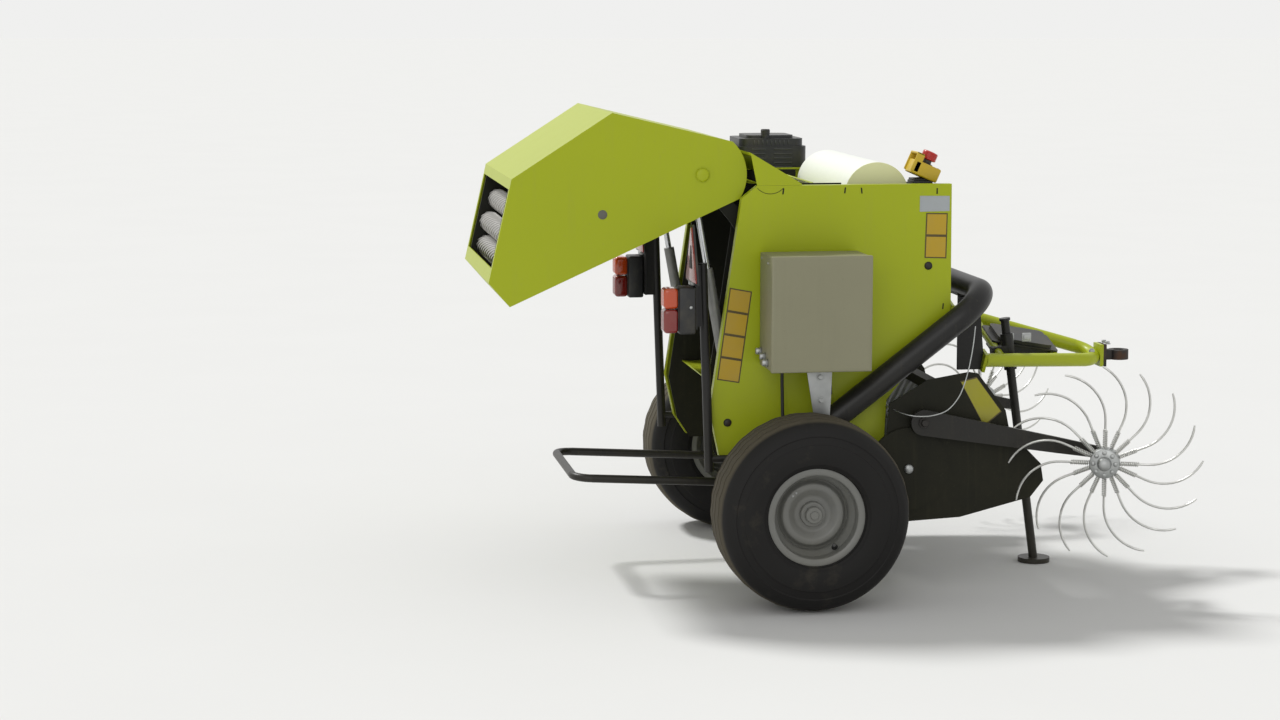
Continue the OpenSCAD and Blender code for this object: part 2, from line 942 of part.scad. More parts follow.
// The bent tray behind the front edge, with two cheeks that carry the net roll's core
module net_tray() {
    cheek_y = net_w / 2 + move_gap + 3;
    color(dark)
        difference() {
            union() {
                side_plate(0, panel_w - 2 * panel_t - 2 * seat_gap)
                    polygon([
                        [net_x - 20, tray_z],
                        [panel_front - 12, tray_z],
                        [panel_front - 12, panel_top - 20],
                        [panel_front - 12 - tray_t, panel_top - 20],
                        [panel_front - 12 - tray_t, tray_z + tray_t],
                        [net_x - 20, tray_z + tray_t]
                    ]);
                both_sides()
                    side_plate(-cheek_y, 6)
                        polygon([
                            [net_x - 40, tray_z],
                            [net_x + 60, tray_z],
                            [net_x + 26, net_z + 24],
                            [net_x - 26, net_z + 24]
                        ]);
            }
            shaft_y(net_x, net_z, net_core_r + 0.5, 2 * cheek_y + 20);
        }
}

// A roll of wrapping net on its cardboard tube
module net_roll() {
    color([0.93, 0.93, 0.90])
        union() {
            shaft_y(net_x, net_z, net_r, net_w);
            shaft_y(net_x, net_z, net_core_r, net_w + 2 * move_gap + 16);
        }
}

// Controls

stop_x = 322;
stop_y = 262;
stop_tilt = 24;

// A yellow box with a red mushroom button, on a bracket at the front corner
module stop_switch() {
    translate([stop_x, -stop_y, panel_top + 12])
        rotate([0, stop_tilt, 0]) {
            color("gold")
                translate([-34, -34, 0])
                    cube([68, 68, 34]);
            color(red) {
                translate([0, 0, 33])
                    cylinder(h = 14, r = 10);
                translate([0, 0, 46])
                    cylinder(h = 20, r = 19);
            }
        }
    color(dark)
        translate([stop_x - 24, -stop_y - 30, tray_z + tray_t + seat_gap])
            cube([48, 60, panel_top + 6 - tray_z - tray_t]);
}

box_x = -88;
box_w = 236;
box_h = 268;
box_d = 150;
box_z = 556;
box_stand_off = 12;

lid_lip = 2;
rail_h = 20;

// The steel control box on the right panel: its lid, two rails behind and a tapered bracket down to the frame tube
module control_box() {
    color([0.62, 0.60, 0.52])
        union() {
            translate([box_x, -panel_y - box_stand_off - box_d, box_z])
                cube([box_w, box_d, box_h]);
            for (z = [box_z + 30, box_z + box_h - 2 * rail_h - 10])
                translate([box_x + 20, -panel_y - box_stand_off, z])
                    cube([box_w - 40, box_stand_off - seat_gap, rail_h]);
            translate([box_x - lid_lip, -panel_y - box_stand_off - box_d, box_z - lid_lip])
                cube([box_w + 2 * lid_lip, 16, box_h + 2 * lid_lip]);
            side_plate(-frame_leg_y - frame_tube_r - seat_gap - 1.5, 3)
                polygon([
                    [box_x + 101, box_z + 1],
                    [box_x + 165, box_z + 1],
                    [box_x + 162, box_z - 85],
                    [box_x + 156, leg_z(box_x + 140)],
                    [box_x + 128, leg_z(box_x + 140)]
                ]);
        }
}

oil_box_w = 110;
oil_box_low = -30;

// The black box that hangs between the drawbar's two ties by the flange of its lid
module oil_box() {
    start = tie_u(0) + tie_r + 2;
    end = tie_u(1) - tie_r - 2;
    mid = (start + end) / 2;
    color(dark)
        in_draw_plane()
            union() {
                translate([mid, 0, oil_box_low])
                    linear_extrude(tie_r + 6 - oil_box_low)
                        rounded(end - start, oil_box_w, 12);
                translate([mid, 0, tie_r + seat_gap])
                    linear_extrude(4)
                        rounded(end - start + 36, oil_box_w + 14, 8);
                translate([mid, 0, tie_r + 5])
                    linear_extrude(9)
                        rounded(end - start + 4, oil_box_w + 4, 14);
            }
}

// Engine on the left side

engine_x = 62;
engine_y = panel_y + 118;
deck_z = 700;
deck_t = 6;

module engine_deck() {
    translate([engine_x - 150, panel_y + seat_gap, deck_z])
        cube([300, 236, deck_t]);
}

case_h = 120;
case_w = 150;
top_z = deck_z + 250;
fin_r = 62;
fin_count = 8;
fin_t = 4;
fin_pitch = 12;
pto_z = deck_z + 72;
shroud_r = 88;
// The cylinder's middle, where the fins and the silencer's pipe meet
barrel_at = [engine_x - 20, engine_y - 5];

// Crankcase with its finned cylinder above, on the deck, and the shaft that drives the machine
module engine_block() {
    neck_z = deck_z + deck_t + case_h - 2;
    color(steel)
        union() {
            engine_deck();
            translate([engine_x, engine_y - 5, deck_z + deck_t - 1])
                linear_extrude(case_h)
                    rounded(case_w, case_w, 24);
            translate([barrel_at.x, barrel_at.y, neck_z])
                cylinder(h = top_z - neck_z - 1, r = 40);
            for (i = [0 : fin_count - 1])
                translate([barrel_at.x, barrel_at.y, neck_z + 8 + i * fin_pitch])
                    cylinder(h = fin_t, r = fin_r);
            for (x = [-44, 40])
                translate([engine_x + x, engine_y - 60, neck_z])
                    cylinder(h = top_z - neck_z - seat_gap, r = 9);
            translate([engine_x, engine_y - 78, pto_z])
                rotate([90, 0, 0])
                    cylinder(h = engine_y - 78 - panel_y - 1, r = 14);
            translate([engine_x, engine_y - 88, pto_z])
                rotate([90, 0, 0])
                    cylinder(h = 12, r = 50);
            tank_bracket();
        }
}

// A folded bracket on the crankcase's rear side, which carries the tank
module tank_bracket() {
    face_x = engine_x - case_w / 2;
    translate([face_x - 16, engine_y - 40, deck_z + 60])
        cube([6, 70, top_z - seat_gap - deck_z - 60]);
    translate([face_x - 16, engine_y - 40, deck_z + 60])
        cube([18, 70, 30]);
    translate([face_x - 92, engine_y - 40, top_z - seat_gap - 6])
        cube([82, 70, 6]);
}

// The fan's round cowl with the dome of the pull starter
module engine_shroud() {
    color(dark)
        translate([engine_x, engine_y + case_w / 2 - 5 + seat_gap, deck_z + deck_t + shroud_r + 2])
            rotate([-90, 0, 0])
                union() {
                    cylinder(h = 40, r = shroud_r);
                    translate([0, 0, 39])
                        cylinder(h = 12, r = 0.75 * shroud_r);
                    translate([0, 0, 50])
                        cylinder(h = 9, r = 30);
                }
}

cleaner_x = -5;
cleaner_w = 186;
cleaner_d = 190;
cleaner_h = 112;
cover_h = 84;
tank_w = 152;
tank_d = 200;
tank_h = 84;

module engine_tank() {
    color(dark)
        translate([cleaner_x - 8 - tank_w / 2, engine_y - 92 + tank_d / 2, top_z])
            union() {
                linear_extrude(tank_h - 14)
                    rounded(tank_w, tank_d, 34);
                linear_extrude(tank_h)
                    rounded(tank_w - 24, tank_d - 24, 26);
                translate([-20, 20, tank_h - 2])
                    cylinder(h = 18, r = 24);
            }
}

// The air cleaner's base and its cover, with the knob that holds it
module engine_cleaner() {
    color(dark)
        translate([cleaner_x + cleaner_w / 2, engine_y - 92 + cleaner_d / 2, top_z])
            union() {
                linear_extrude(cover_h)
                    rounded(cleaner_w, cleaner_d, 26);
                linear_extrude(cleaner_h - 8)
                    rounded(cleaner_w - 16, cleaner_d - 16, 24);
                linear_extrude(cleaner_h)
                    rounded(cleaner_w - 60, cleaner_d - 60, 20);
                translate([-14, -64, 6])
                    cylinder(h = cleaner_h + 10, r = 11);
            }
}

// The silencer behind its guard, with the pipe that meets the cylinder's fins
module engine_silencer() {
    silencer_z = deck_z + 150;
    silencer_x = engine_x + case_w / 2 + 42;
    guard_y = engine_y - 55;
    color(steel)
        difference() {
            union() {
                translate([silencer_x, guard_y, silencer_z])
                    rotate([-90, 0, 0])
                        cylinder(h = 118, r = 40);
                translate([silencer_x - 12, guard_y - 6, silencer_z - 52])
                    cube([50, 7, 104]);
                translate([barrel_at.x, barrel_at.y, silencer_z - 8])
                    rotate([0, 90, 0])
                        cylinder(h = silencer_x - barrel_at.x, r = 12);
                translate([silencer_x, guard_y + 90, silencer_z + 30])
                    cylinder(h = 36, r = 11);
            }
            translate([barrel_at.x, barrel_at.y, silencer_z - 60])
                cylinder(h = 120, r = fin_r + seat_gap);
        }
}

// Pickup

lift_x = 190;
lift_z = 315;
lift_pin_r = 12;
pickup_outline = [
    [222, 458], [316, 514], [418, 531], [440, 527], [510, 436], [521, 384], [600, 304], [607, 262], [575, 222],
    [400, 178], [265, 171],
    [196, 236], [162, 296], [160, 330], [176, 344], [216, 352]
];
arm_pivot = [300, 415];
beam_z = 480;

// Two side plates joined by a beam and the reel's fixed axle; it hangs on two pins of the body
module pickup_frame() {
    color(dark)
        difference() {
            union() {
                both_sides() {
                    side_plate(-pickup_y + pickup_t / 2, pickup_t)
                        polygon(pickup_outline);
                    shaft_piece([reel_x, reel_z], pickup_y + 2.5, 100, 8);
                    shaft_piece(arm_pivot, pickup_y + 16, 10, 34);
                }
                cross_bar(330, 360, beam_z + seat_gap, beam_z + 24, pickup_y - pickup_t + 1);
                shaft_y(reel_x, reel_z, roller_shaft_r, pickup_w + 16);
            }
            shaft_y(lift_x, lift_z, lift_pin_r + run_gap, pickup_w + 40);
        }
}

// The pin on which the pickup hangs, outside the panel
module lift_pin() {
    shaft_piece([lift_x, lift_z], (panel_y + pickup_y + 4) / 2 - 0.5, lift_pin_r, pickup_y + 5 - panel_y);
}

tine_r = 3;
bar_circle = 84;
reel_w = chamber_w - 20;

// The reel turns on the fixed axle: a tube with discs, tine bars and rows of spring tines
module pickup_reel() {
    reach = tine_tip_r - bar_circle;
    color(steel)
        translate([reel_x, 0, reel_z])
            difference() {
                union() {
                    shaft_y(0, 0, 34, reel_w - 20);
                    for (k = [0 : tine_bars - 1])
                        rotate([0, 45 + k * 360 / tine_bars, 0]) {
                            shaft_y(0, bar_circle, 9, reel_w);
                            for (i = [0 : tines_per_bar - 1])
                                translate([0, (i / (tines_per_bar - 1) - 0.5) * (reel_w - 24), bar_circle])
                                    rotate([0, -12, 0])
                                        cylinder(h = reach, r = tine_r, $fn = 16);
                        }
                    both_sides()
                        translate([0, -reel_w / 2 + 16, 0])
                            rotate([90, 0, 0])
                                cylinder(h = 6, r = bar_circle + 16);
                }
                shaft_y(0, 0, roller_shaft_r + run_gap, reel_w + 20);
            }
}

// Curved bands between the tine rows, fixed to the pickup's beam
module stripper_bands() {
    color(paint)
        for (i = [0 : tines_per_bar - 2])
            let (y = ((i + 0.5) / (tines_per_bar - 1) - 0.5) * (reel_w - 24))
                side_plate(y, 26) {
                    polygon([[304, 410], [308, 408], [352, beam_z], [340, beam_z]]);
                    intersection() {
                        translate([reel_x, reel_z])
                            difference() {
                                circle(118, $fn = 96);
                                circle(115, $fn = 96);
                            }
                        translate([reel_x, reel_z])
                            polygon([[0, 0], [60, 200], [200, 200], [200, -200], [-60, -200]]);
                    }
                }
}

// Star wheels

star_hub = [712, -530, 328];
star_arm_t = 14;
star_arm_y = pickup_y + 24;

// How far the axle runs inboard of the hub's middle, to the arm
star_axle_in = (-star_hub.y - star_arm_y) / cos(star_toe);
arm_end = [star_hub.x + star_axle_in * sin(star_toe), star_hub.z];
arm_root_r = 31;
arm_neck_r = 19;
arm_tip_r = 13;

// The tapered side outline of an arm: wide at its pin, narrow at the axle
module arm_outline() {
    way = unit(arm_end - arm_pivot);
    side = [-way.y, way.x];
    neck = arm_end - 130 * way;
    polygon([
        arm_pivot + arm_root_r * side,
        neck + arm_neck_r * side,
        arm_end + arm_tip_r * side,
        arm_end - arm_tip_r * side,
        neck - arm_neck_r * side,
        arm_pivot - arm_root_r * side
    ]);
    translate(arm_pivot)
        circle(arm_root_r - 0.2);
    translate(arm_end)
        circle(arm_tip_r - 0.2);
}

// A flat arm from its pin on the pickup to the star wheel's axle
module star_arm(side) {
    color(dark)
        on_side(side)
            difference() {
                union() {
                    side_plate(-star_arm_y, star_arm_t)
                        arm_outline();
                    star_axle();
                }
                shaft_piece(arm_pivot, star_arm_y, 10 + run_gap, 60);
            }
}

module at_star() {
    translate(star_hub)
        rotate([0, 0, -star_toe])
            rotate([90, 0, 0])
                children();
}

star_axle_r = 10;

module star_axle() {
    at_star()
        translate([0, 0, -star_axle_in - 4])
            cylinder(h = star_axle_in + 38, r = star_axle_r);
}

// The hub with its spring tines: each has a coil and then a wire that curls forward
module star_wheel(side) {
    coil_in = star_hub_r - 4;
    coil_out = 80;
    wire_r = star_wire / 2;
    color(steel)
        on_side(side)
            at_star()
                difference() {
                    union() {
                        translate([0, 0, -22])
                            cylinder(h = 44, r = star_hub_r);
                        translate([0, 0, 20])
                            cylinder(h = 20, r = 16);
                        translate([0, 0, 39])
                            cylinder(h = 5, r = 11);
                        for (i = [0 : star_tines - 1])
                            rotate([0, 0, i * 360 / star_tines])
                                translate([0, 0, i % 2 == 0 ? 9 : -9]) {
                                    rotate([0, 90, 0])
                                        translate([0, 0, coil_in])
                                            cylinder(h = coil_out - coil_in, r = 5.5, $fn = 24);
                                    rotate([0, 90, 0])
                                        translate([0, 0, coil_out - 1])
                                            cylinder(h = 25, r = wire_r, $fn = 16);
                                    translate([coil_out + 22, star_curl_r, 0])
                                        rotate([0, 0, -92])
                                            rotate_extrude(angle = 86)
                                                translate([star_curl_r, 0])
                                                    circle(wire_r - 0.2, $fn = 16);
                                }
                    }
                    translate([0, 0, -30])
                        cylinder(h = 66, r = star_axle_r + run_gap);
                }
}

// Lamps and ramp

post_x = -219;
post_y = 352;
// The lamps and reflectors sit further out than the posts, clear of the moving tailgate
lamp_y = 398;
lamp_z = 640;
lamp_w = 60;
lamp_h = 110;
lamp_face_x = post_x - 36;
reflector_half = 74;
reflector_h = 136;
reflector_z = 758;

// Bent posts behind the body that carry the tail lamps
module lamp_posts() {
    color(dark)
        both_sides()
            union() {
                bar([post_x + 10, -post_y, 300], [post_x - 8, -post_y, 800], 11);
                bar([post_x + 70, -post_y, 330], [post_x + 10, -post_y, 330], 9);
                shaft_piece([post_x + 76, 330], (panel_y + seat_gap + post_y) / 2, 12, post_y - panel_y - seat_gap);
                translate([lamp_face_x + seat_gap, -lamp_y - 20, lamp_z + 10])
                    cube([5, lamp_y - post_y + 32, 150]);
                translate([lamp_face_x + 4, -post_y - 9, lamp_z + 10])
                    cube([post_x - lamp_face_x - 12, 18, 146]);
            }
}

module tail_lamps() {
    both_sides()
        translate([lamp_face_x, -lamp_y, lamp_z + lamp_h / 2]) {
            color([0.12, 0.12, 0.12])
                rotate([90, 0, -90])
                    linear_extrude(40)
                        rounded(lamp_w, lamp_h, 10);
            color("orangered")
                translate([-39.5, 0, 0])
                    rotate([90, 0, -90])
                        linear_extrude(36)
                            rounded(lamp_w - 4, lamp_h - 4, 12);
        }
}

// Triangular red reflectors above the lamps
module reflectors() {
    color(red)
        both_sides()
            translate([lamp_face_x, -lamp_y, reflector_z])
                rotate([90, 0, -90])
                    linear_extrude(8)
                        polygon([
                            [-reflector_half, 0],
                            [reflector_half, 0],
                            [reflector_half, 8],
                            [6, reflector_h],
                            [-6, reflector_h],
                            [-reflector_half, 8]
                        ]);
}

hoop_y = 200;
hoop_z = 240;
hoop_back = 512;
hoop_rise = 26;
hoop_r = 10;
hoop_bend_r = 45;

// A bent tube behind the wheels that rolls the bale clear
module bale_ramp() {
    reach = norm([hoop_back - axle_side / 2, hoop_rise]);
    color(dark)
        translate([-axle_side / 2 - seat_gap - 0.6, 0, hoop_z])
            rotate([0, atan2(hoop_rise, hoop_back - axle_side / 2), 0])
                mirror([1, 0, 0])
                    union() {
                        both_sides() {
                            translate([0, -hoop_y, 0])
                                rotate([0, 90, 0])
                                    cylinder(h = reach - hoop_bend_r + 2, r = hoop_r);
                            translate([reach - hoop_bend_r, -hoop_y + hoop_bend_r, 0])
                                rotate([0, 0, -92])
                                    rotate_extrude(angle = 94)
                                        translate([hoop_bend_r, 0])
                                            circle(hoop_r - 0.2);
                            translate([4, -hoop_y, 0])
                                rotate([0, 90, 0])
                                    cylinder(h = 8, r = hoop_r + 8);
                        }
                        translate([reach, hoop_y - hoop_bend_r + 2, 0])
                            rotate([90, 0, 0])
                                cylinder(h = 2 * (hoop_y - hoop_bend_r + 2), r = hoop_r);
                    }
}

placed() tyre(-1);  // tyre_right
placed() tyre(1);  // tyre_left
placed() rim(-1);  // rim_right
placed() rim(1);  // rim_left
placed() axle_beam();
placed() main_frame();
placed() drawbar();
placed() towing_eye();
placed() stand_sleeve();
placed() stand_leg();
placed() chamber_wall(-1);  // chamber_wall_right
placed() chamber_wall(1);  // chamber_wall_left
placed() side_panel(-1);  // side_panel_right
placed() side_panel(1);  // side_panel_left
placed() upper_cover();
placed() chamber_sheet();
placed() body_bearings();
placed() tailgate_skin();
placed() tailgate_walls();
placed() ram_barrel(-1);  // gate_ram_barrel_right
placed() ram_barrel(1);  // gate_ram_barrel_left
placed() ram_rod(-1);  // gate_ram_rod_right
placed() ram_rod(1);  // gate_ram_rod_left
placed() net_tray();
placed() net_roll();
placed() stop_switch();
placed() control_box();
placed() oil_box();
placed() engine_block();
placed() engine_shroud();
placed() engine_tank();
placed() engine_cleaner();
placed() engine_silencer();
placed() pickup_frame();
placed() pickup_reel();
placed() stripper_bands();
placed() star_arm(-1);  // star_arm_right
placed() star_arm(1);  // star_arm_left
placed() star_wheel(-1);  // star_wheel_right
placed() star_wheel(1);  // star_wheel_left
placed() lamp_posts();
placed() tail_lamps();
placed() reflectors();
placed() bale_ramp();
placed() body_roller(0);  // body_roller_1
placed() body_roller(1);  // body_roller_2
placed() body_roller(2);  // body_roller_3
placed() body_roller(3);  // body_roller_4
placed() body_roller(4);  // body_roller_5
placed() gate_roller(0);  // gate_roller_1
placed() gate_roller(1);  // gate_roller_2
placed() gate_roller(2);  // gate_roller_3
placed() gate_roller(3);  // gate_roller_4
placed() gate_roller(4);  // gate_roller_5
placed() gate_roller(5);  // gate_roller_6
placed() gate_roller(6);  // gate_roller_7
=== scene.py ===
# %% [markdown]
# # A mini round baler, dressed for its picture
# The machine's solids come packed from the CAD part. This script gives every solid its real finish and
# adds the detail that a solid model leaves out: tread, springs, bolts, seams, lenses, cables and blank
# plates. The frame is loaded first, because each new piece is placed by the box of the solid that carries
# it.

import json
import math

import bpy
from mathutils import Matrix, Vector

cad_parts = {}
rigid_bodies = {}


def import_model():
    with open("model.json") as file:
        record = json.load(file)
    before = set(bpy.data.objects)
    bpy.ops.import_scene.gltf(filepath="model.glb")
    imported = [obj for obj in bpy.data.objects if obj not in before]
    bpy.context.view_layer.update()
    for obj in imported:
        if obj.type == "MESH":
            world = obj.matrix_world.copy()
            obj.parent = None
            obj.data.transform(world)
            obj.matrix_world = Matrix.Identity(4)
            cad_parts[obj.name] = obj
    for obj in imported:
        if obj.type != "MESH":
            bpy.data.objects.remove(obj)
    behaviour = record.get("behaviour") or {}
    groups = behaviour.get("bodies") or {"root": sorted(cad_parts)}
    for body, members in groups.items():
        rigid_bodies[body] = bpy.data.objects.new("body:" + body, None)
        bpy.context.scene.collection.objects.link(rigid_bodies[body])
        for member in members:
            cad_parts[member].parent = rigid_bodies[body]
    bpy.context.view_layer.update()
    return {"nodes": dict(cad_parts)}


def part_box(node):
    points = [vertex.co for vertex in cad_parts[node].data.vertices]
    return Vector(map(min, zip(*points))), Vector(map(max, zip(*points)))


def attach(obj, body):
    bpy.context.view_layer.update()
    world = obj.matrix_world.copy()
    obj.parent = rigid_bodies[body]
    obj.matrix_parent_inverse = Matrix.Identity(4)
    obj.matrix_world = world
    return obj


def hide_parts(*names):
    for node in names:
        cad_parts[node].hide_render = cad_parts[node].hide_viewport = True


for thing in list(bpy.data.objects):
    bpy.data.objects.remove(thing)
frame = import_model()

nodes = frame["nodes"]
frame_origin = 108.084


def ahead(millimetres):
    """Turns a distance ahead of the axle, in mm, into the frame's own x."""
    return (millimetres - frame_origin) / 1000


# %% [markdown]
# ## Camera
# The picture was taken from the right rear with a long lens, a little above the machine. A 75.9 mm lens
# on a 36 mm sensor, turned 8.8 degrees towards the drawbar and 7.6 degrees down, gives the same outline.

# %% Camera
turn_to_drawbar, tilt_down = 8.8, 7.6
camera_data = bpy.data.cameras.new("Camera")
camera_data.lens = 75.94
camera_data.sensor_width = 36.0
camera_data.clip_end = 100.0
camera = bpy.data.objects.new("Camera", camera_data)
bpy.context.collection.objects.link(camera)
camera.location = (-1.452, -6.603, 1.416)
camera.rotation_euler = (math.radians(90 - tilt_down), 0, math.radians(-turn_to_drawbar))
bpy.context.scene.camera = camera

# %% [markdown]
# ## Shader maths
# Shader nodes are easier to read as sums. `Value` wraps a socket, so `1 - mask * 0.4` adds its own Math
# nodes, and `Finish` holds one material with its Principled shader, whose sockets are set by name.

# %% A socket that can be used in sums
class Value:
    def __init__(self, finish, socket):
        self.finish, self.socket = finish, socket

    def maths(self, operation, *values, clamp=False):
        return self.finish.node("ShaderNodeMath", {"operation": operation, "use_clamp": clamp}, *values)

    def __add__(self, other): return self.maths("ADD", self, other)
    def __radd__(self, other): return self.maths("ADD", other, self)
    def __sub__(self, other): return self.maths("SUBTRACT", self, other)
    def __rsub__(self, other): return self.maths("SUBTRACT", other, self)
    def __mul__(self, other): return self.maths("MULTIPLY", self, other)
    def __rmul__(self, other): return self.maths("MULTIPLY", other, self)
    def __truediv__(self, other): return self.maths("DIVIDE", self, other)
    def __pow__(self, other): return self.maths("POWER", self, other)
    def clamped(self): return self.maths("ADD", self, 0.0, clamp=True)
    def above(self, edge, soft):
        return self.maths("MULTIPLY_ADD", self, 1 / soft, -edge / soft, clamp=True)


# %% A material with its nodes
def linear(colour):
    """Screen colour in 0 to 255, as shader colour."""
    part = [c / 255 for c in colour]
    return tuple(c / 12.92 if c < 0.04045 else ((c + 0.055) / 1.055) ** 2.4 for c in part) + (1.0,)


class Finish:
    def __init__(self, name, roughness=0.5, metallic=0.0, **sockets):
        self.material = bpy.data.materials.new(name)
        self.material.use_nodes = True
        self.tree = self.material.node_tree
        self.shader = self.tree.nodes["Principled BSDF"]
        self.set(Roughness=roughness, Metallic=metallic, **sockets)
        self.coords = self.tree.nodes.new("ShaderNodeTexCoord").outputs["Object"]

    def link(self, value, socket):
        if isinstance(value, Value):
            value = value.socket
        if isinstance(value, bpy.types.NodeSocket):
            self.tree.links.new(value, socket)
        elif value is not None:
            socket.default_value = value

    def set(self, **sockets):
        for name, value in sockets.items():
            self.link(value, self.shader.inputs[name.replace("_", " ")])

    def node(self, kind, settings, *values, out=0, **named):
        node = self.tree.nodes.new(kind)
        for key, value in settings.items():
            setattr(node, key, value)
        for socket, value in zip(node.inputs, values):
            self.link(value, socket)
        for key, value in named.items():
            self.link(value, node.inputs[key.replace("_", " ")])
        return Value(self, node.outputs[out])

    def stretched(self, scale, turn=(0, 0, 0)):
        return self.node("ShaderNodeMapping", {}, self.coords, Scale=scale, Rotation=turn)

    def noise(self, scale, detail=4.0, rough=0.55, where=None):
        return self.node("ShaderNodeTexNoise", {}, Vector=where or self.coords, Scale=scale, Detail=detail,
                         Roughness=rough)

    def axis(self, letter):
        return self.node("ShaderNodeSeparateXYZ", {}, self.coords, out="XYZ".index(letter))

    def mix(self, mask, first, second):
        node = self.tree.nodes.new("ShaderNodeMix")
        node.data_type = "RGBA"
        self.link(mask, node.inputs["Factor"])
        self.link(first, node.inputs[6])
        self.link(second, node.inputs[7])
        return Value(self, node.outputs[2])

    def bump(self, height, distance, strength=1.0):
        self.set(Normal=self.node("ShaderNodeBump", {}, Height=height, Distance=distance, Strength=strength))


# %% [markdown]
# ## Paint and bare metal
# The machine is lime-yellow sheet steel and black tube. Real paint is never one colour: it is a little
# uneven, dusty low down, and finely speckled where it is worn. Each finish mixes its base colour with a
# dust colour through noise.

# %% Lime paint, with dust that gathers low down
def painted(name, colour, shade, dust, roughness, dust_height, dust_amount, coat=0.0, gloss=0.5):
    f = Finish(name, Coat_Weight=coat, Coat_Roughness=0.25, Specular_IOR_Level=gloss)
    patches = f.noise(3.0, 3)
    specks = f.noise(160.0, 2).above(0.66, 0.06)
    low = (1 - f.axis("Z") / dust_height).clamped()
    film = (low * 0.75 + 0.12) * f.noise(9.0, 6, 0.65) * dust_amount
    streaks = f.noise(7.0, 4, where=f.stretched((9, 9, 0.6))).above(0.55, 0.3) * 0.10
    base = f.mix(patches, linear(colour), linear(shade))
    dirty = (film + streaks + specks * 0.25 * dust_amount).clamped()
    f.set(Base_Color=f.mix(dirty, base, linear(dust)), Roughness=(roughness + dirty * 0.35).clamped())
    f.bump(f.noise(420.0, 2), 0.00012, 0.35)
    return f.material


lime = painted("Lime paint", (168, 180, 18), (160, 173, 12), (150, 146, 78), 0.36, 0.75, 0.5,
               coat=0.03, gloss=0.3)
black_paint = painted("Black paint", (30, 30, 31), (22, 22, 23), (104, 98, 76), 0.36, 0.6, 0.35, gloss=0.3)
dusty_black = painted("Dusty black steel", (27, 28, 22), (20, 21, 17), (92, 88, 62), 0.5, 0.8, 0.3,
                      gloss=0.15)
grey_box = painted("Grey box enamel", (141, 139, 112), (131, 129, 104), (110, 104, 84), 0.42, 1.2, 0.5)


# %% Bare and plated steel
rust_brown = (112, 74, 46)


def steel(name, colour, dark, roughness, rust=0.0, grain=(1, 30, 1), metallic=0.85):
    f = Finish(name, metallic=metallic)
    worn = f.noise(26.0, 5, 0.6)
    brushed = f.noise(40.0, 3, where=f.stretched(grain))
    base = f.mix(worn, linear(colour), linear(dark))
    brown = f.noise(14.0, 6, 0.7).above(0.56, 0.12) * rust
    f.set(Base_Color=f.mix(brown, base, linear(rust_brown)),
          Roughness=(roughness + worn * 0.18 + brown * 0.3).clamped())
    f.bump(brushed, 0.0002, 0.4)
    return f.material


galvanised = steel("Galvanised steel", (188, 190, 188), (148, 150, 150), 0.34, 0.05)
roller_steel = steel("Roller steel", (186, 184, 180), (140, 138, 134), 0.34, 0.18)
spring_steel = steel("Spring wire", (222, 222, 218), (182, 182, 178), 0.22, 0.03)
chrome_rod = steel("Chromed rod", (214, 216, 218), (196, 198, 200), 0.12, 0.0)
cast_metal = steel("Cast aluminium", (158, 158, 154), (124, 124, 122), 0.5, 0.0)
forged = steel("Forged steel", (70, 68, 66), (48, 46, 44), 0.5, 0.4)
rim_silver = painted("Silver wheel paint", (124, 125, 122), (108, 109, 107), (96, 90, 68), 0.34, 0.5, 0.7,
                     coat=0.1)

# %% [markdown]
# ## Rubber, plastic and lenses
# A tyre has black side walls, and its crown is worn to a grey that holds fine specks of soil. Plastics
# get a thin film of dust, and the lamp lenses are glossy coloured plastic under a clear coat.

# %% Rubber and plastics
dry_dust = (150, 140, 112)


def plastic(name, colour, shade, roughness, grain=300.0, dust=0.15, **sockets):
    f = Finish(name, roughness, **sockets)
    film = f.noise(12.0, 5, 0.6).above(0.45, 0.4) * dust
    base = f.mix(f.noise(5.0), linear(colour), linear(shade))
    f.set(Base_Color=f.mix(film, base, linear(dry_dust)), Roughness=(roughness + film * 0.4).clamped())
    f.bump(f.noise(grain, 2), 0.0002, 0.4)
    return f.material


def rubber(name, side, crown, axle_height, crown_from):
    """Black side walls; the crown, measured from the axle, is worn grey and holds soil in fine specks."""
    f = Finish(name, 0.7, Specular_IOR_Level=0.2)
    out = ((f.axis("X") - ahead(0)) ** 2 + (f.axis("Z") - axle_height) ** 2) ** 0.5
    worn = out.above(crown_from, 0.004) * (0.55 + f.noise(30.0, 5, 0.7) * 0.45)
    soil = f.noise(14.0, 6, 0.7).above(0.58, 0.2) * 0.22
    base = f.mix(f.noise(6.0), linear(side), linear(tuple(c * 0.8 for c in side)))
    f.set(Base_Color=f.mix((worn + soil).clamped(), base, linear(crown)),
          Roughness=(0.62 + worn * 0.25).clamped())
    f.bump(f.noise(240.0, 3), 0.0003, 0.5)
    return f.material


tyre_rubber = rubber("Tyre rubber", (31, 30, 29), (92, 86, 72), 0.2285, 0.2195)
black_plastic = plastic("Black plastic", (30, 31, 32), (24, 25, 26), 0.45, 500.0, 0.2)
engine_black = plastic("Engine cover", (34, 36, 38), (26, 28, 30), 0.38, 600.0, 0.25)
amber_lens = plastic("Amber lens", (196, 74, 20), (178, 60, 14), 0.12, 500.0, 0.12, Coat_Weight=0.6)
red_lens = plastic("Red lens", (134, 22, 20), (112, 16, 15), 0.12, 500.0, 0.12, Coat_Weight=0.6)
reflector_red = plastic("Reflector", (150, 44, 36), (120, 34, 30), 0.25, 300.0, 0.35, Coat_Weight=0.4)
switch_yellow = plastic("Switch box", (206, 176, 34), (190, 160, 28), 0.4, 500.0, 0.15)
switch_red = plastic("Mushroom button", (196, 34, 26), (172, 26, 20), 0.3, 500.0, 0.08)
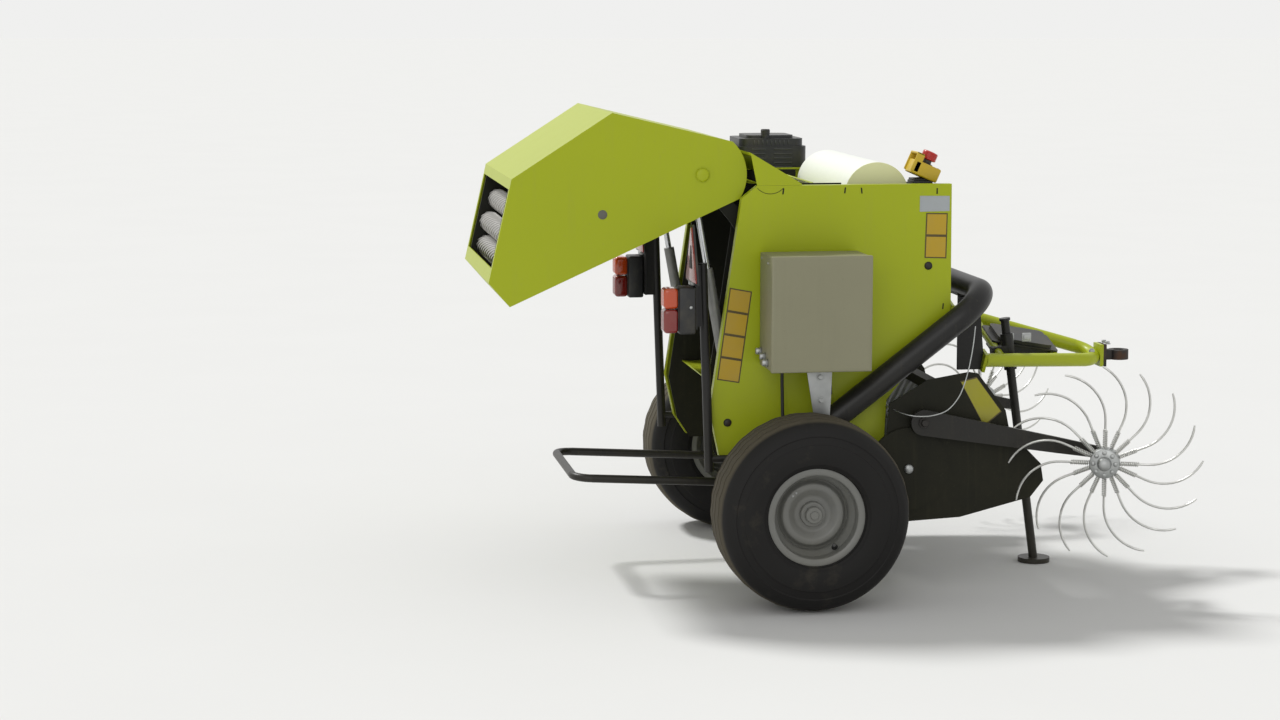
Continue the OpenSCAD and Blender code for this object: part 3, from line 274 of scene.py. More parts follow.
net_white = plastic("Net wrap", (236, 238, 232), (218, 222, 214), 0.6, 900.0, 0.05)

# %% Every solid gets its finish
finish_of = {
    "lime": (lime, "side_panel_right side_panel_left upper_cover tailgate_skin drawbar chamber_sheet"),
    "black": (black_paint, "main_frame axle_beam lamp_posts bale_ramp stand_sleeve stand_leg net_tray "
                           "star_arm_right star_arm_left"),
    "dusty": (dusty_black, "pickup_frame chamber_wall_right chamber_wall_left tailgate_walls"),
    "galvanised": (galvanised, "body_bearings stripper_bands pickup_reel"),
    "rollers": (roller_steel, " ".join(n for n in nodes if "_roller_" in n)),
    "rods": (chrome_rod, "gate_ram_rod_right gate_ram_rod_left"),
    "barrels": (cast_metal, "gate_ram_barrel_right gate_ram_barrel_left engine_block"),
    "rims": (rim_silver, "rim_right rim_left"),
    "tyres": (tyre_rubber, "tyre_right tyre_left"),
    "springs": (spring_steel, "star_wheel_right star_wheel_left"),
    "eye": (forged, "towing_eye engine_silencer"),
    "box": (grey_box, "control_box"),
    "oil": (black_plastic, "oil_box"),
    "engine": (engine_black, "engine_shroud engine_tank engine_cleaner"),
    "net": (net_white, "net_roll"),
    "stop": (switch_yellow, "stop_switch"),
    "lamps": (black_plastic, "tail_lamps"),
    "reflectors": (reflector_red, "reflectors"),
}
for material, names in finish_of.values():
    for name in names.split():
        solid = nodes[name]
        for place in solid.material_slots:
            place.material = material
print("finished", sum(len(names.split()) for _, names in finish_of.values()), "of", len(nodes))

# %% [markdown]
# ## Studio
# A pale floor and a pale world show the outline clearly. A soft sun stands high behind the machine on the
# left, as in the picture, so the top faces are bright and the near side is in soft shade. To keep the
# background even, the camera, reflections and clear plastic see a world as pale as the lit floor, while
# its light on the machine is weaker.

# %% Floor, world and lamps
bpy.ops.object.select_all(action="DESELECT")
bpy.ops.mesh.primitive_plane_add(size=400, location=(0, 0, -0.0005))
floor = bpy.context.object
floor.name = "Floor"
floor_finish = Finish("Pale floor", 0.95)
floor_pale, floor_shade = linear((222, 222, 220)), linear((219, 219, 217))
floor_finish.set(Base_Color=floor_finish.mix(floor_finish.noise(1.5), floor_pale, floor_shade),
                 Specular_IOR_Level=0.0)
floor.data.materials.append(floor_finish.material)

world = bpy.context.scene.world or bpy.data.worlds.new("World")
bpy.context.scene.world = world
world.use_nodes = True
sky = world.node_tree
seen = sky.nodes.new("ShaderNodeBackground")
seen.inputs["Color"].default_value = (1.0, 1.0, 0.99, 1.0)
seen.inputs["Strength"].default_value = 0.87
light = sky.nodes["Background"]
light.inputs["Color"].default_value = (1.0, 1.0, 1.0, 1.0)
light.inputs["Strength"].default_value = 0.55
rays = sky.nodes.new("ShaderNodeLightPath")


def either(first, second):
    """A socket that is 1 when one of two sockets is."""
    larger = sky.nodes.new("ShaderNodeMath")
    larger.operation = "MAXIMUM"
    sky.links.new(first, larger.inputs[0])
    sky.links.new(second, larger.inputs[1])
    return larger.outputs[0]


seen_or_mirrored = either(rays.outputs["Is Camera Ray"], rays.outputs["Is Glossy Ray"])
pick_sky = sky.nodes.new("ShaderNodeMixShader")
sky.links.new(either(seen_or_mirrored, rays.outputs["Is Transmission Ray"]), pick_sky.inputs["Fac"])
sky.links.new(light.outputs[0], pick_sky.inputs[1])
sky.links.new(seen.outputs[0], pick_sky.inputs[2])
sky.links.new(pick_sky.outputs[0], sky.nodes["World Output"].inputs["Surface"])


def sun_lamp(name, towards, strength, softness):
    """A lamp like the sun, which shines along a direction and casts a shadow with a soft edge."""
    data = bpy.data.lights.new(name, "SUN")
    data.energy = strength
    data.angle = math.radians(softness)
    lamp = bpy.data.objects.new(name, data)
    bpy.context.collection.objects.link(lamp)
    lamp.rotation_euler = Vector(towards).to_track_quat("-Z", "Y").to_euler()
    return lamp


sun_lamp("Sun", (0.55, -0.62, -1.0), 2.5, 9)
sun_lamp("Near fill", (0.35, 1.0, -0.45), 0.45, 40)
bpy.context.scene.view_settings.view_transform = "Standard"

# %% [markdown]
# ## Helpers for modelling
# Each piece starts as a primitive and is shaped in edit mode. These helpers only save typing: they clear
# the selection, go in and out of edit mode, pick faces or points by their place, and put a finished
# piece's place into its mesh.

# %% Selecting and keeping
def clear():
    if bpy.context.object and bpy.context.object.mode != "OBJECT":
        bpy.ops.object.mode_set(mode="OBJECT")
    bpy.ops.object.select_all(action="DESELECT")


def active(piece):
    clear()
    piece.select_set(True)
    bpy.context.view_layer.objects.active = piece
    return piece


def pick(piece, test, kind="VERT"):
    """In edit mode, selects the points or faces for which test(place) or test(middle, normal) is true."""
    bpy.ops.mesh.select_mode(type=kind)
    bpy.ops.mesh.select_all(action="DESELECT")
    bpy.ops.object.mode_set(mode="OBJECT")
    if kind == "VERT":
        for point in piece.data.vertices:
            point.select = bool(test(point.co))
    else:
        for face in piece.data.polygons:
            face.select = bool(test(face.center, face.normal))
    bpy.ops.object.mode_set(mode="EDIT")


def edit(kind=None):
    """Goes into edit mode with everything selected."""
    bpy.ops.object.mode_set(mode="EDIT")
    if kind:
        bpy.ops.mesh.select_mode(type=kind)
    bpy.ops.mesh.select_all(action="SELECT")


def done():
    bpy.ops.object.mode_set(mode="OBJECT")


def outwards():
    """Turns every face to the outside."""
    bpy.ops.mesh.select_all(action="SELECT")
    bpy.ops.mesh.normals_make_consistent(inside=False)


def pull(shift):
    """Extrudes what is selected by a shift."""
    bpy.ops.mesh.extrude_region_move(TRANSFORM_OT_translate={"value": shift})


def box_of(name):
    """The two corners of a solid's box."""
    return [Vector(corner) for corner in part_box(name)]


def keep(piece, name, finish, body, slot, smooth=40):
    """Names a piece, gives it its finish, puts its place into its mesh and rides it on a body."""
    active(piece)
    bpy.ops.object.transform_apply(location=True, rotation=True, scale=True)
    piece.name = piece.data.name = name
    piece.data.materials.clear()
    piece.data.materials.append(finish)
    if smooth:
        bpy.ops.object.shade_smooth_by_angle(angle=math.radians(smooth))
    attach(piece, body)
    return piece


def copied(piece, matrix):
    """A copy with its own mesh, moved by a matrix."""
    twin = piece.copy()
    twin.data = piece.data.copy()
    bpy.context.collection.objects.link(twin)
    twin.data.transform(matrix)
    if matrix.determinant() < 0:
        twin.data.flip_normals()
    return twin


def joined(parts):
    """All parts as one piece, which is the first of them."""
    clear()
    for part in parts:
        part.select_set(True)
    bpy.context.view_layer.objects.active = parts[0]
    if len(parts) > 1:
        bpy.ops.object.join()
    return parts[0]


MIRROR_Y = Matrix.Diagonal((1, -1, 1, 1))


def both_sides(piece, name, finish, body, slot, smooth=40, solid=None):
    """Keeps a right-hand piece and its mirror copy. A body that ends in _ takes the side's name."""
    twin = copied(piece, MIRROR_Y)
    for each, side in ((piece, "right"), (twin, "left")):
        keep(each, name + "_" + side, finish, body + side if body.endswith("_") else body, slot, smooth)
        if solid:
            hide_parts(solid + side)


def aim(place, direction):
    """The matrix that stands a piece drawn along +Z at a place, facing a direction."""
    return Matrix.Translation(place) @ Vector(direction).to_track_quat("Z", "X").to_matrix().to_4x4()


# %% A profile spun round an axle
def lathe(profile, centre, steps, axis=(0, 1, 0)):
    """Extrudes one vertex along [radius, along] points, then spins the line round the axle."""
    axis = Vector(axis).normalized()
    side = axis.orthogonal().normalized()
    at = [Vector(centre) + side * r + axis * a for r, a in profile]
    clear()
    bpy.ops.mesh.primitive_plane_add(size=0.001, location=at[0])
    piece = bpy.context.object
    bpy.ops.object.transform_apply(location=True)
    edit("VERT")
    bpy.ops.mesh.merge(type="CENTER")
    bpy.ops.mesh.select_all(action="SELECT")
    for here, there in zip(at, at[1:]):
        pull(there - here)
    bpy.ops.mesh.select_all(action="SELECT")
    bpy.ops.mesh.spin(steps=steps, angle=math.tau, center=centre, axis=axis)
    bpy.ops.mesh.select_all(action="SELECT")
    bpy.ops.mesh.remove_doubles(threshold=0.00002)
    bpy.ops.mesh.normals_make_consistent(inside=False)
    done()
    return piece


# %% A hexagon bolt on its washer, drawn once at the origin along +Z
def hex_bolt(size):
    clear()
    bpy.ops.mesh.primitive_cylinder_add(vertices=6, radius=size, depth=size * 0.9,
                                        location=(0, 0, size * 0.65))
    head = bpy.context.object
    edit()
    pick(head, lambda c, n: n.z > 0.9, "FACE")
    bpy.ops.mesh.inset(thickness=size * 0.16, depth=size * 0.12)
    done()
    bpy.ops.mesh.primitive_cylinder_add(vertices=20, radius=size * 1.45, depth=size * 0.22,
                                        location=(0, 0, size * 0.1))
    washer = bpy.context.object
    edit()
    bpy.ops.mesh.bevel(offset=size * 0.05, segments=1)
    done()
    bolt = joined([head, washer])
    bpy.ops.object.transform_apply(location=True)
    return bolt


def domed_bolt(size):
    clear()
    bpy.ops.mesh.primitive_uv_sphere_add(segments=20, ring_count=10, radius=size, location=(0, 0, 0))
    head = bpy.context.object
    edit()
    bpy.ops.mesh.bisect(plane_co=(0, 0, 0), plane_no=(0, 0, 1), clear_inner=True, use_fill=True)
    bpy.ops.mesh.select_all(action="SELECT")
    bpy.ops.transform.resize(value=(1, 1, 0.55), center_override=(0, 0, 0))
    done()
    return head


bolt_start = hex_bolt(0.006)
dome_start = domed_bolt(0.008)


def fasteners(name, start, places, direction, body, scale=1.0, finish=None):
    """One piece made of copies of a bolt at several places, all facing one way."""
    parts = [copied(start, aim(at, direction) @ Matrix.Scale(scale, 4)) for at in places]
    return keep(joined(parts), name, finish or galvanised, body, "galvanised", smooth=35)


# %% [markdown]
# ## Road tyres
# The tyre is an implement tyre with narrow zigzag grooves between flat ribs and a plain side wall with a
# step. Its profile is spun with the grooves in it, and then the groove points are shifted sideways on
# every other pair of steps, which gives the zigzag.

# %% Tread and side walls
tyre_low, tyre_high = box_of("tyre_right")
wheel_centre = (tyre_low + tyre_high) / 2
tyre_r = (tyre_high.z - tyre_low.z) / 2
tyre_half = (tyre_high.y - tyre_low.y) / 2
bead_half = tyre_half - 0.0225
groove_y = [-0.048, -0.016, 0.016, 0.048]
groove_half, groove_deep, groove_shift = 0.0032, 0.009, 0.0030
shoulder_y = 0.056


def tread_r(y):
    return tyre_r - 0.004 * (abs(y) / 0.065) ** 2


crown = []
for y in groove_y:
    crown += [(tread_r(y), y - groove_half), (tread_r(y) - groove_deep, y - groove_half * 0.6),
              (tread_r(y) - groove_deep, y + groove_half * 0.6), (tread_r(y), y + groove_half)]
shoulder = [
    (0.1022, bead_half), (0.112, bead_half + 0.001), (0.1175, bead_half + 0.006),
    (0.1185, bead_half + 0.0115), (0.124, bead_half + 0.015), (0.1265, bead_half + 0.0175),
    (0.142, tyre_half - 0.0012), (0.158, tyre_half),
    (0.172, tyre_half - 0.0008), (0.174, tyre_half - 0.0026), (0.190, tyre_half - 0.0055),
    (0.1925, tyre_half - 0.004), (0.204, tyre_half - 0.0085), (0.213, tyre_half - 0.0155),
    (0.2185, tyre_half - 0.024), (0.2225, tyre_half - 0.033)]
tyre_profile = [(r, -y) for r, y in shoulder] + crown + list(reversed(shoulder))
tyre_steps = 120
tyre = lathe(tyre_profile, wheel_centre, tyre_steps)


def on_odd_pair(place):
    turn = math.atan2(place.z - wheel_centre.z, place.x - wheel_centre.x)
    return int(round(turn / (math.tau / tyre_steps))) % 4 in (0, 1)


edit()
for wanted, shift in ((True, groove_shift), (False, -groove_shift)):
    pick(tyre, lambda p: on_odd_pair(p) == wanted and abs(p.y - wheel_centre.y) < shoulder_y)
    bpy.ops.transform.translate(value=(0, shift, 0))
done()
both_sides(tyre, "tread_tyre", tyre_rubber, "wheel_", "tyre", smooth=28, solid="tyre_")
print("tyre", round(tyre_r * 2, 3), "m across,", len(tyre.data.polygons), "faces")

# %% [markdown]
# ## Wheel rims
# A small implement rim is pressed from two sheets: a rolled channel with a curled flange, and a dished
# disc with a hub in its middle. Seen from the side it is a row of rings, so its whole section is one
# closed line, spun round the axle. The valve stands in the channel, low on the front side.

# %% Rim section, valve and hub nipples
hub_out = 0.042
rim_section = [
    (0, 0.0610), (0.0085, 0.0610), (0.0098, 0.0600), (0.0102, 0.0568), (0.0180, 0.0562),
    (0.0198, 0.0545), (0.0202, 0.0425), (0.0278, hub_out), (0.0292, 0.0405), (0.0300, 0.0290),
    (0.0385, 0.0275), (0.0420, 0.0282), (0.0455, 0.0298), (0.0560, 0.0385), (0.0595, 0.0404),
    (0.0625, 0.0410), (0.0700, 0.0410), (0.0722, 0.0400), (0.0745, 0.0372), (0.0775, 0.0312),
    (0.0800, 0.0285), (0.0838, 0.0272), (0.0846, 0.0300), (0.0850, 0.0400), (0.0862, 0.0440),
    (0.0950, 0.0530), (0.0968, 0.0560), (0.0972, 0.0600), (0.0968, 0.0625), (0.0974, 0.0650),
    (0.0980, 0.0765), (0.0992, 0.0795), (0.1016, 0.0812), (0.1090, 0.0818), (0.1128, 0.0822),
    (0.1146, 0.0815), (0.1150, 0.0800), (0.1144, 0.0784), (0.1022, 0.0780), (0.1016, 0.0765),
    (0.1016, 0.0530), (0.0880, 0.0400), (0.0876, -0.0415), (0.1016, -0.0520), (0.1016, -0.0765),
    (0.1022, -0.0780), (0.1144, -0.0784), (0.1150, -0.0800), (0.1140, -0.0815), (0.1016, -0.0812),
    (0.0985, -0.0780), (0.0985, -0.0530), (0.0848, -0.0430), (0.0845, 0.0230), (0.0800, 0.0235),
    (0.0735, 0.0350), (0.0700, 0.0362), (0.0610, 0.0362), (0.0470, 0.0240), (0.0280, 0.0240),
    (0.0280, -0.0455), (0.0272, -0.0460), (0.0145, -0.0460), (0.0142, 0.0400), (0, 0.0402)]
rim = lathe(rim_section, wheel_centre, 96, (0, -1, 0))
valve_turn = math.radians(-57)
valve_way = Vector((math.cos(valve_turn), 0, math.sin(valve_turn)))
valve_foot = wheel_centre + valve_way * 0.0925 + Vector((0, -0.0500, 0))
valve_section = [(0, -0.004), (0.0068, -0.004), (0.0074, 0.002), (0.0050, 0.005), (0.0042, 0.014),
                 (0.0048, 0.0145), (0.0048, 0.0235), (0.0040, 0.0245), (0, 0.0245)]
valve = lathe(valve_section, valve_foot, 20, Vector((0, -1, 0)) - valve_way * 0.55)
nipple_turn = math.radians(128)
nipple_places = [wheel_centre + Vector((math.cos(nipple_turn + d), 0, math.sin(nipple_turn + d))) * 0.0655
                 + Vector((0, -0.0412, 0)) for d in (0, 0.16)]
nipples = joined([copied(dome_start, aim(place, (0, -1, 0)) @ Matrix.Scale(0.35, 4))
                  for place in nipple_places])
both_sides(rim, "rolled_rim", rim_silver, "wheel_", "rim_silver", smooth=32, solid="rim_")
both_sides(valve, "tyre_valve", black_plastic, "wheel_", "rim_silver", smooth=32)
both_sides(nipples, "rim_nipples", galvanised, "wheel_", "rim_silver", smooth=32)
print("rim", len(rim.data.polygons), "faces, flange", round(rim.dimensions.z, 3), "m across")

# %% [markdown]
# ## Star wheels
# Two spring-tined wheels turn in front of the pickup and sweep inwards. Each tine is one wire: it is
# wound into a close coil beside the hub, runs straight for a little, and then bends forward in a wide
# arc. One tine is made with the Screw modifier and a spin, and then copied round the hub, in two rows.
# All of it stands on the wheel's slanting axle.

# %% One spring tine, drawn along +X
star_hub = Vector((ahead(712), -0.530, 0.328))
star_toe = math.radians(22)
star_turn = Matrix.Rotation(-star_toe, 4, "Z") @ Matrix.Rotation(math.pi / 2, 4, "X")
star_frame = Matrix.Translation(star_hub) @ star_turn
coil_start, coil_end, coil_r, wire_r, curl_r = 0.037, 0.080, 0.0044, 0.0017, 0.105


def wire_end(radius, corners):
    """A round wire's closed end at the origin, which faces +X."""
    clear()
    bpy.ops.mesh.primitive_circle_add(vertices=corners, radius=radius, fill_type="NGON",
                                      rotation=(0, math.pi / 2, 0))
    bpy.ops.object.transform_apply(rotation=True)
    return bpy.context.object


def coil():
    turns = 10
    ring = wire_end(wire_r, 6)
    edit()
    bpy.ops.transform.rotate(value=math.pi / 2, orient_axis="Z", center_override=(0, 0, 0))
    bpy.ops.transform.translate(value=(0, 0, coil_r))
    bpy.ops.mesh.delete(type="ONLY_FACE")
    done()
    winding = ring.modifiers.new("Winding", "SCREW")
    winding.axis = "X"
    winding.screw_offset = (coil_end - coil_start) / turns
    winding.iterations = turns
    winding.steps = winding.render_steps = 11
    bpy.ops.object.modifier_apply(modifier="Winding")
    ring.data.transform(Matrix.Translation((coil_start, 0, 0)))
    active(ring)
    edit("VERT")
    bpy.ops.mesh.fill_holes(sides=0)
    outwards()
    done()
    return ring


def curved_wire():
    wire = wire_end(0.0028, 8)
    wire.location.x = coil_end - 0.004
    bpy.ops.object.transform_apply(location=True)
    edit()
    pull((0.026, 0, 0))
    bpy.ops.mesh.spin(steps=12, angle=-math.radians(86), axis=(0, 0, 1),
                      center=(coil_end + 0.022, curl_r, 0))
    bpy.ops.transform.resize(value=(0.7, 0.7, 0.7))
    outwards()
    done()
    return wire


spring, tine_wire = coil(), curved_wire()
reach = max(point.co.y for point in tine_wire.data.vertices)
tine_faces = len(spring.data.polygons) + len(tine_wire.data.polygons)
print("tine:", tine_faces, "faces, curls to y", round(reach, 3))

# %% Hub, cap and sixteen tines
hub_section = [(0, 0.0445), (0.0050, 0.0443), (0.0105, 0.0425), (0.0145, 0.0385), (0.0160, 0.0330),
               (0.0160, 0.0240), (0.0172, 0.0225), (0.0335, 0.0222), (0.0352, 0.0205), (0.0352, -0.0205),
               (0.0335, -0.0222), (0, -0.0222)]
hub = lathe(hub_section, (0, 0, 0), 48, (0, 0, 1))
tine_count, row_offset = 16, 0.009
outwards_turn = Matrix.Rotation(math.pi / 2, 4, "Y")
foot_on_rim = Matrix.Translation((0.0335, 0, 0)) @ outwards_turn @ Matrix.Scale(0.85, 4)
bolt_on_face = Matrix.Translation((0.0262, 0, 0.0130)) @ Matrix.Scale(0.72, 4)
tines, sockets = [spring, tine_wire], []
for i in range(tine_count):
    row = row_offset if i % 2 == 0 else -row_offset
    place = Matrix.Rotation(math.tau * i / tine_count, 4, "Z") @ Matrix.Translation((0, 0, row))
    sockets.append(copied(dome_start, place @ foot_on_rim))
    if i % 2 == 0:
        sockets.append(copied(dome_start, place @ bolt_on_face))
    if i:
        tines += [copied(spring, place), copied(tine_wire, place)]
for each in (spring, tine_wire):
    each.data.transform(Matrix.Translation((0, 0, row_offset)))
hub, tines = joined([hub] + sockets), joined(tines)
for each in (hub, tines):
    each.data.transform(star_frame)
both_sides(hub, "star_hub", galvanised, "star_wheel_", "galvanised", smooth=45)
both_sides(tines, "star_tines", spring_steel, "star_wheel_", "galvanised", smooth=45, solid="star_wheel_")
print("star wheel:", len(tines.data.polygons) + len(hub.data.polygons), "faces")

# %% [markdown]
# ## Control box
# A folded sheet box with a lid that laps over it by a few millimetres. It is lifted off the panel by two
# rails, and a tapered plate runs from it down to the frame tube. The folded edges are bevelled, because a
# bent sheet never has a sharp corner, and small things tell its size: rivets, three cable glands and two
# bolts on the plate.

# %% Blocks with soft edges and flat plates
def block(low, high, soft, segments=3):
    """A block between two corners whose edges are rounded by a bevel."""
    low, high = Vector(low), Vector(high)
    clear()
    bpy.ops.mesh.primitive_cube_add(size=1, location=(low + high) / 2, scale=high - low)
    piece = bpy.context.object
    bpy.ops.object.transform_apply(location=True, rotation=True, scale=True)
    edit()
    bpy.ops.mesh.bevel(offset=soft, segments=segments, profile=0.5)
    done()
    return piece


def plate(points, shift, soft, segments=2):
    """A flat plate through points, pulled out by a shift, with bevelled edges."""
    clear()
    bpy.ops.mesh.primitive_circle_add(vertices=len(points), radius=1, fill_type="NGON")
    piece = bpy.context.object
    for vertex, point in zip(piece.data.vertices, points):
        vertex.co = Vector(point)
    edit()
    pull(shift)
    outwards()
    if soft:
        bpy.ops.mesh.bevel(offset=soft, segments=segments)
    done()
    return piece


def sheet(points, y, thick, soft=0.0):
    """A flat plate drawn in the side view as [mm ahead of the axle, mm up], thick towards the right side."""
    return plate([(ahead(x), y, z / 1000) for x, z in points], (0, -thick, 0), soft)


panel_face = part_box("upper_cover")[0][1]
box_low, box_high = box_of("control_box")
box_bottom = 0.556
print("panel face at y", round(panel_face, 4), "box", box_low, box_high)

# %% Box, lid, rails, bracket, rivets and glands
lip, rail_deep = 0.002, 0.012
shell = block((box_low.x + lip, box_low.y + 0.0155, box_bottom),
              (box_high.x - lip, panel_face - rail_deep, box_high.z - lip), 0.0022)
lid = block((box_low.x, box_low.y, box_bottom - lip), (box_high.x, box_low.y + 0.016, box_high.z), 0.003, 4)
edit()
pick(lid, lambda c, n: n.y < -0.99, "FACE")
bpy.ops.mesh.inset(thickness=0.004, depth=0)
bpy.ops.mesh.inset(thickness=0.0012, depth=-0.0004)
done()
rails = [block((box_low.x + 0.022, panel_face - rail_deep, z),
               (box_high.x - 0.022, panel_face - 0.0003, z + 0.020), 0.0015) for z in (0.586, 0.774)]
control = keep(joined([shell, lid] + rails), "control_housing", grey_box, "root", "box_grey", smooth=30)
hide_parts("control_box")
bracket_y, bracket_thick = -0.4033, 0.003
bracket_face = bracket_y - bracket_thick
bracket_outline = [(13, 557), (77, 557), (74, 471), (68, 392), (40, 392)]
bracket = sheet(bracket_outline, bracket_y, bracket_thick, 0.0008)
flange = block((ahead(13), bracket_face, 0.553), (ahead(77), bracket_y - 0.026, box_bottom), 0.0008)
keep(joined([bracket, flange]), "box_bracket", galvanised, "root", "galvanised")
bracket_bolts = [(ahead(47), bracket_face, 0.530), (ahead(50), bracket_face, 0.474)]
fasteners("bracket_bolts", bolt_start, bracket_bolts, (0, -1, 0), "root", 1.1)
rear = box_low.x + lip
rivets = [(rear, panel_face - 0.032, 0.812), (rear, panel_face - 0.105, 0.806)]
fasteners("box_rivets", dome_start, rivets, (-1, 0, 0), "root", 0.42)
gland = lathe([(0, 0), (0.0095, 0), (0.0100, 0.0010), (0.0100, 0.0040), (0.0082, 0.0050), (0.0082, 0.0110),
               (0.0070, 0.0135), (0.0040, 0.0140), (0, 0.0140)], (0, 0, 0), 12, (0, 0, 1))
backwards = Matrix.Rotation(-math.pi / 2, 4, "Y")
glands = [copied(gland, Matrix.Translation((rear, panel_face - d, z)) @ backwards)
          for d, z in ((0.030, 0.590), (0.078, 0.583), (0.108, 0.572))]
bpy.data.objects.remove(gland)
keep(joined(glands), "cable_glands", galvanised, "root", "galvanised", smooth=30)
print("control box with", len(rails), "rails,", len(glands), "glands")

# %% [markdown]
# ## Tail lamps and reflectors
# Each lamp is a black moulded foot with a ribbed lens, amber above and red below, and a triangle
# reflector stands over it on the same plate. The lens ribs are cut by bisecting the lens and sinking
# every other strip a little.

# %% Lamp feet, lenses and triangles
lamp_low, lamp_high = box_of("tail_lamps")
lamp_mid_y, lamp_half, lens_x = -0.398, 0.030, lamp_high.x - 0.040
lens_half, strips, strip_wide = 0.027, 12, 0.0035
first_strip = lamp_mid_y - strips * strip_wide / 2
foot = block((lens_x, lamp_mid_y - lamp_half, lamp_low.z),
             (lamp_high.x, lamp_mid_y + lamp_half, lamp_high.z), 0.005)
edit()
pick(foot, lambda c, n: n.x < -0.99, "FACE")
bpy.ops.mesh.inset(thickness=0.002, depth=0)
pull((-0.002, 0, 0))
done()


def lens(low_z, high_z):
    piece = block((lamp_low.x, lamp_mid_y - lens_half, low_z),
                  (lens_x - 0.001, lamp_mid_y + lens_half, high_z), 0.009, 5)
    edit()
    for i in range(1, strips):
        bpy.ops.mesh.select_all(action="SELECT")
        bpy.ops.mesh.bisect(plane_co=(0, first_strip + strip_wide * i, 0), plane_no=(0, 1, 0))
    for i in range(0, strips, 2):
        middle = first_strip + strip_wide * (i + 0.5)
        pick(piece, lambda c, n: abs(c.y - middle) < 0.0008 and n.x < -0.9, "FACE")
        bpy.ops.mesh.inset(thickness=0.0006, depth=-0.0009)
    done()
    return piece


lamp_mid_z = 0.699
amber, red = lens(lamp_mid_z + 0.0005, 0.748), lens(0.642, lamp_mid_z - 0.0005)
tri_low, tri_high = box_of("reflectors")


def triangle(shrink, front, back, soft):
    """A rounded triangle across the machine, between two x, whose edges lie shrink inside the solid's."""
    half, low, top = 0.074 - shrink * 1.6, tri_low.z + shrink, tri_high.z - shrink * 1.4
    corners = [(-half, low), (half, low), (half, low + 0.008), (0.006, top), (-0.006, top),
               (-half, low + 0.008)]
    return plate([(front, lamp_mid_y + y, z) for y, z in corners], (back - front, 0, 0), soft, 3)


tri_back = triangle(0.0, tri_low.x + 0.003, tri_high.x, 0.0012)
tri_red = triangle(0.004, tri_low.x, tri_low.x + 0.0032, 0.0010)
tri_hole = triangle(0.034, tri_low.x - 0.0002, tri_low.x + 0.001, 0.0003)
lamp_set = [(foot, "lamp_foot", black_plastic, "tail_lamps"), (amber, "amber_lens", amber_lens, None),
            (red, "red_lens", red_lens, None), (tri_back, "triangle_back", black_plastic, "reflectors"),
            (tri_red, "triangle_red", reflector_red, None), (tri_hole, "triangle_middle", dusty_black, None)]
clip = block((tri_low.x - 0.001, lamp_mid_y - 0.010, tri_low.z - 0.006),
             (tri_high.x, lamp_mid_y + 0.028, tri_low.z + 0.004), 0.0015)
lamp_set.append((clip, "lamp_clip", galvanised, None))
for piece, name, finish, solid in lamp_set:
    both = joined([piece, copied(piece, MIRROR_Y)])
    keep(both, name, finish, "root", "reflector" if "triangle" in name else "lamp", smooth=35)
    if solid:
        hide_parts(solid)
screw_x = (lens_x + lamp_high.x) / 2 + 0.008
for side, y in (("right", -1), ("left", 1)):
    fasteners("lamp_screw_" + side, dome_start, [(screw_x, y * 0.428, 0.703)], (0, y, 0), "root", 0.5)
print("lamps", [round(v, 3) for v in lamp_low], "triangle", round(tri_high.z - tri_low.z, 3), "m high")

# %% [markdown]
# ## Net roll and stop switch
# The wrapping net is wound on a cardboard tube, so its ends show fine rings and its face is a little
# uneven where the layers overlap. The switch is a folded yellow box on a black foot, with a guard along
# its rear edge and a ribbed red mushroom.

# %% Wound net with its tube
net_low, net_high = box_of("net_roll")
net_centre = Vector(((net_low.x + net_high.x) / 2, 0, (net_low.z + net_high.z) / 2))
net_r = (net_high.z - net_low.z) / 2
net_half = 0.270
core_r = 0.0208
ends = [(0.0215 + 0.0045 * i, net_half - 0.0008 - 0.0012 * (i % 2)) for i in range(13)]
face = [(net_r - 0.0006 - 0.0009 * abs(math.sin(i * 1.7)), net_half - 0.0025 - i * 0.0535)
        for i in range(11)]
far_ends = [(r, -y) for r, y in reversed(ends)]
net_profile = [(core_r, net_half)] + ends + face + far_ends + [(core_r, -net_half), (core_r, net_half)]
wound = lathe(net_profile, net_centre, 72)
net_finish = Finish("Wound net", 0.62, Coat_Weight=0.0)
threads = net_finish.noise(60.0, 3, where=net_finish.stretched((1, 14, 1)))
rough_layers = net_finish.noise(500.0, 2)
net_finish.set(Base_Color=net_finish.mix(threads, linear((238, 240, 234)), linear((222, 225, 216))))
net_finish.bump(threads + rough_layers * 0.5, 0.0008, 0.5)
keep(wound, "wound_net", net_finish.material, "net", "net", smooth=50)
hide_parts("net_roll")
card = plastic("Cardboard tube", (176, 142, 98), (158, 124, 84), 0.8, 300.0, 0.1)
tube_half = net_high.y
tube_section = [(0.0165, -tube_half), (0.0200, -tube_half), (0.0203, -tube_half + 0.001),
                (0.0203, tube_half - 0.001), (0.0200, tube_half), (0.0165, tube_half),
                (0.0162, tube_half - 0.001), (0.0162, -tube_half + 0.001), (0.0165, -tube_half)]
tube = lathe(tube_section, net_centre, 40)
keep(tube, "net_tube", card, "net", "net", smooth=50)
cap_section = [(0.0215, 0), (0.0780, 0), (0.0788, 0.0006), (0.0785, 0.0014), (0.0600, 0.0022),
               (0.0400, 0.0026), (0.0220, 0.0028), (0.0215, 0.0020), (0.0215, 0)]
end_cap = lathe(cap_section, (0, 0, 0), 64)
net_end = plastic("Net end", (238, 238, 190), (228, 230, 176), 0.6, 200.0, 0.05)
sides = [copied(end_cap, Matrix.Translation(net_centre + Vector((0, y, 0))) @ Matrix.Rotation(turn, 4, "X"))
         for y, turn in ((net_half, 0), (-net_half, math.pi))]
bpy.data.objects.remove(end_cap)
keep(joined(sides), "net_ends", net_end, "net", "net", smooth=40)
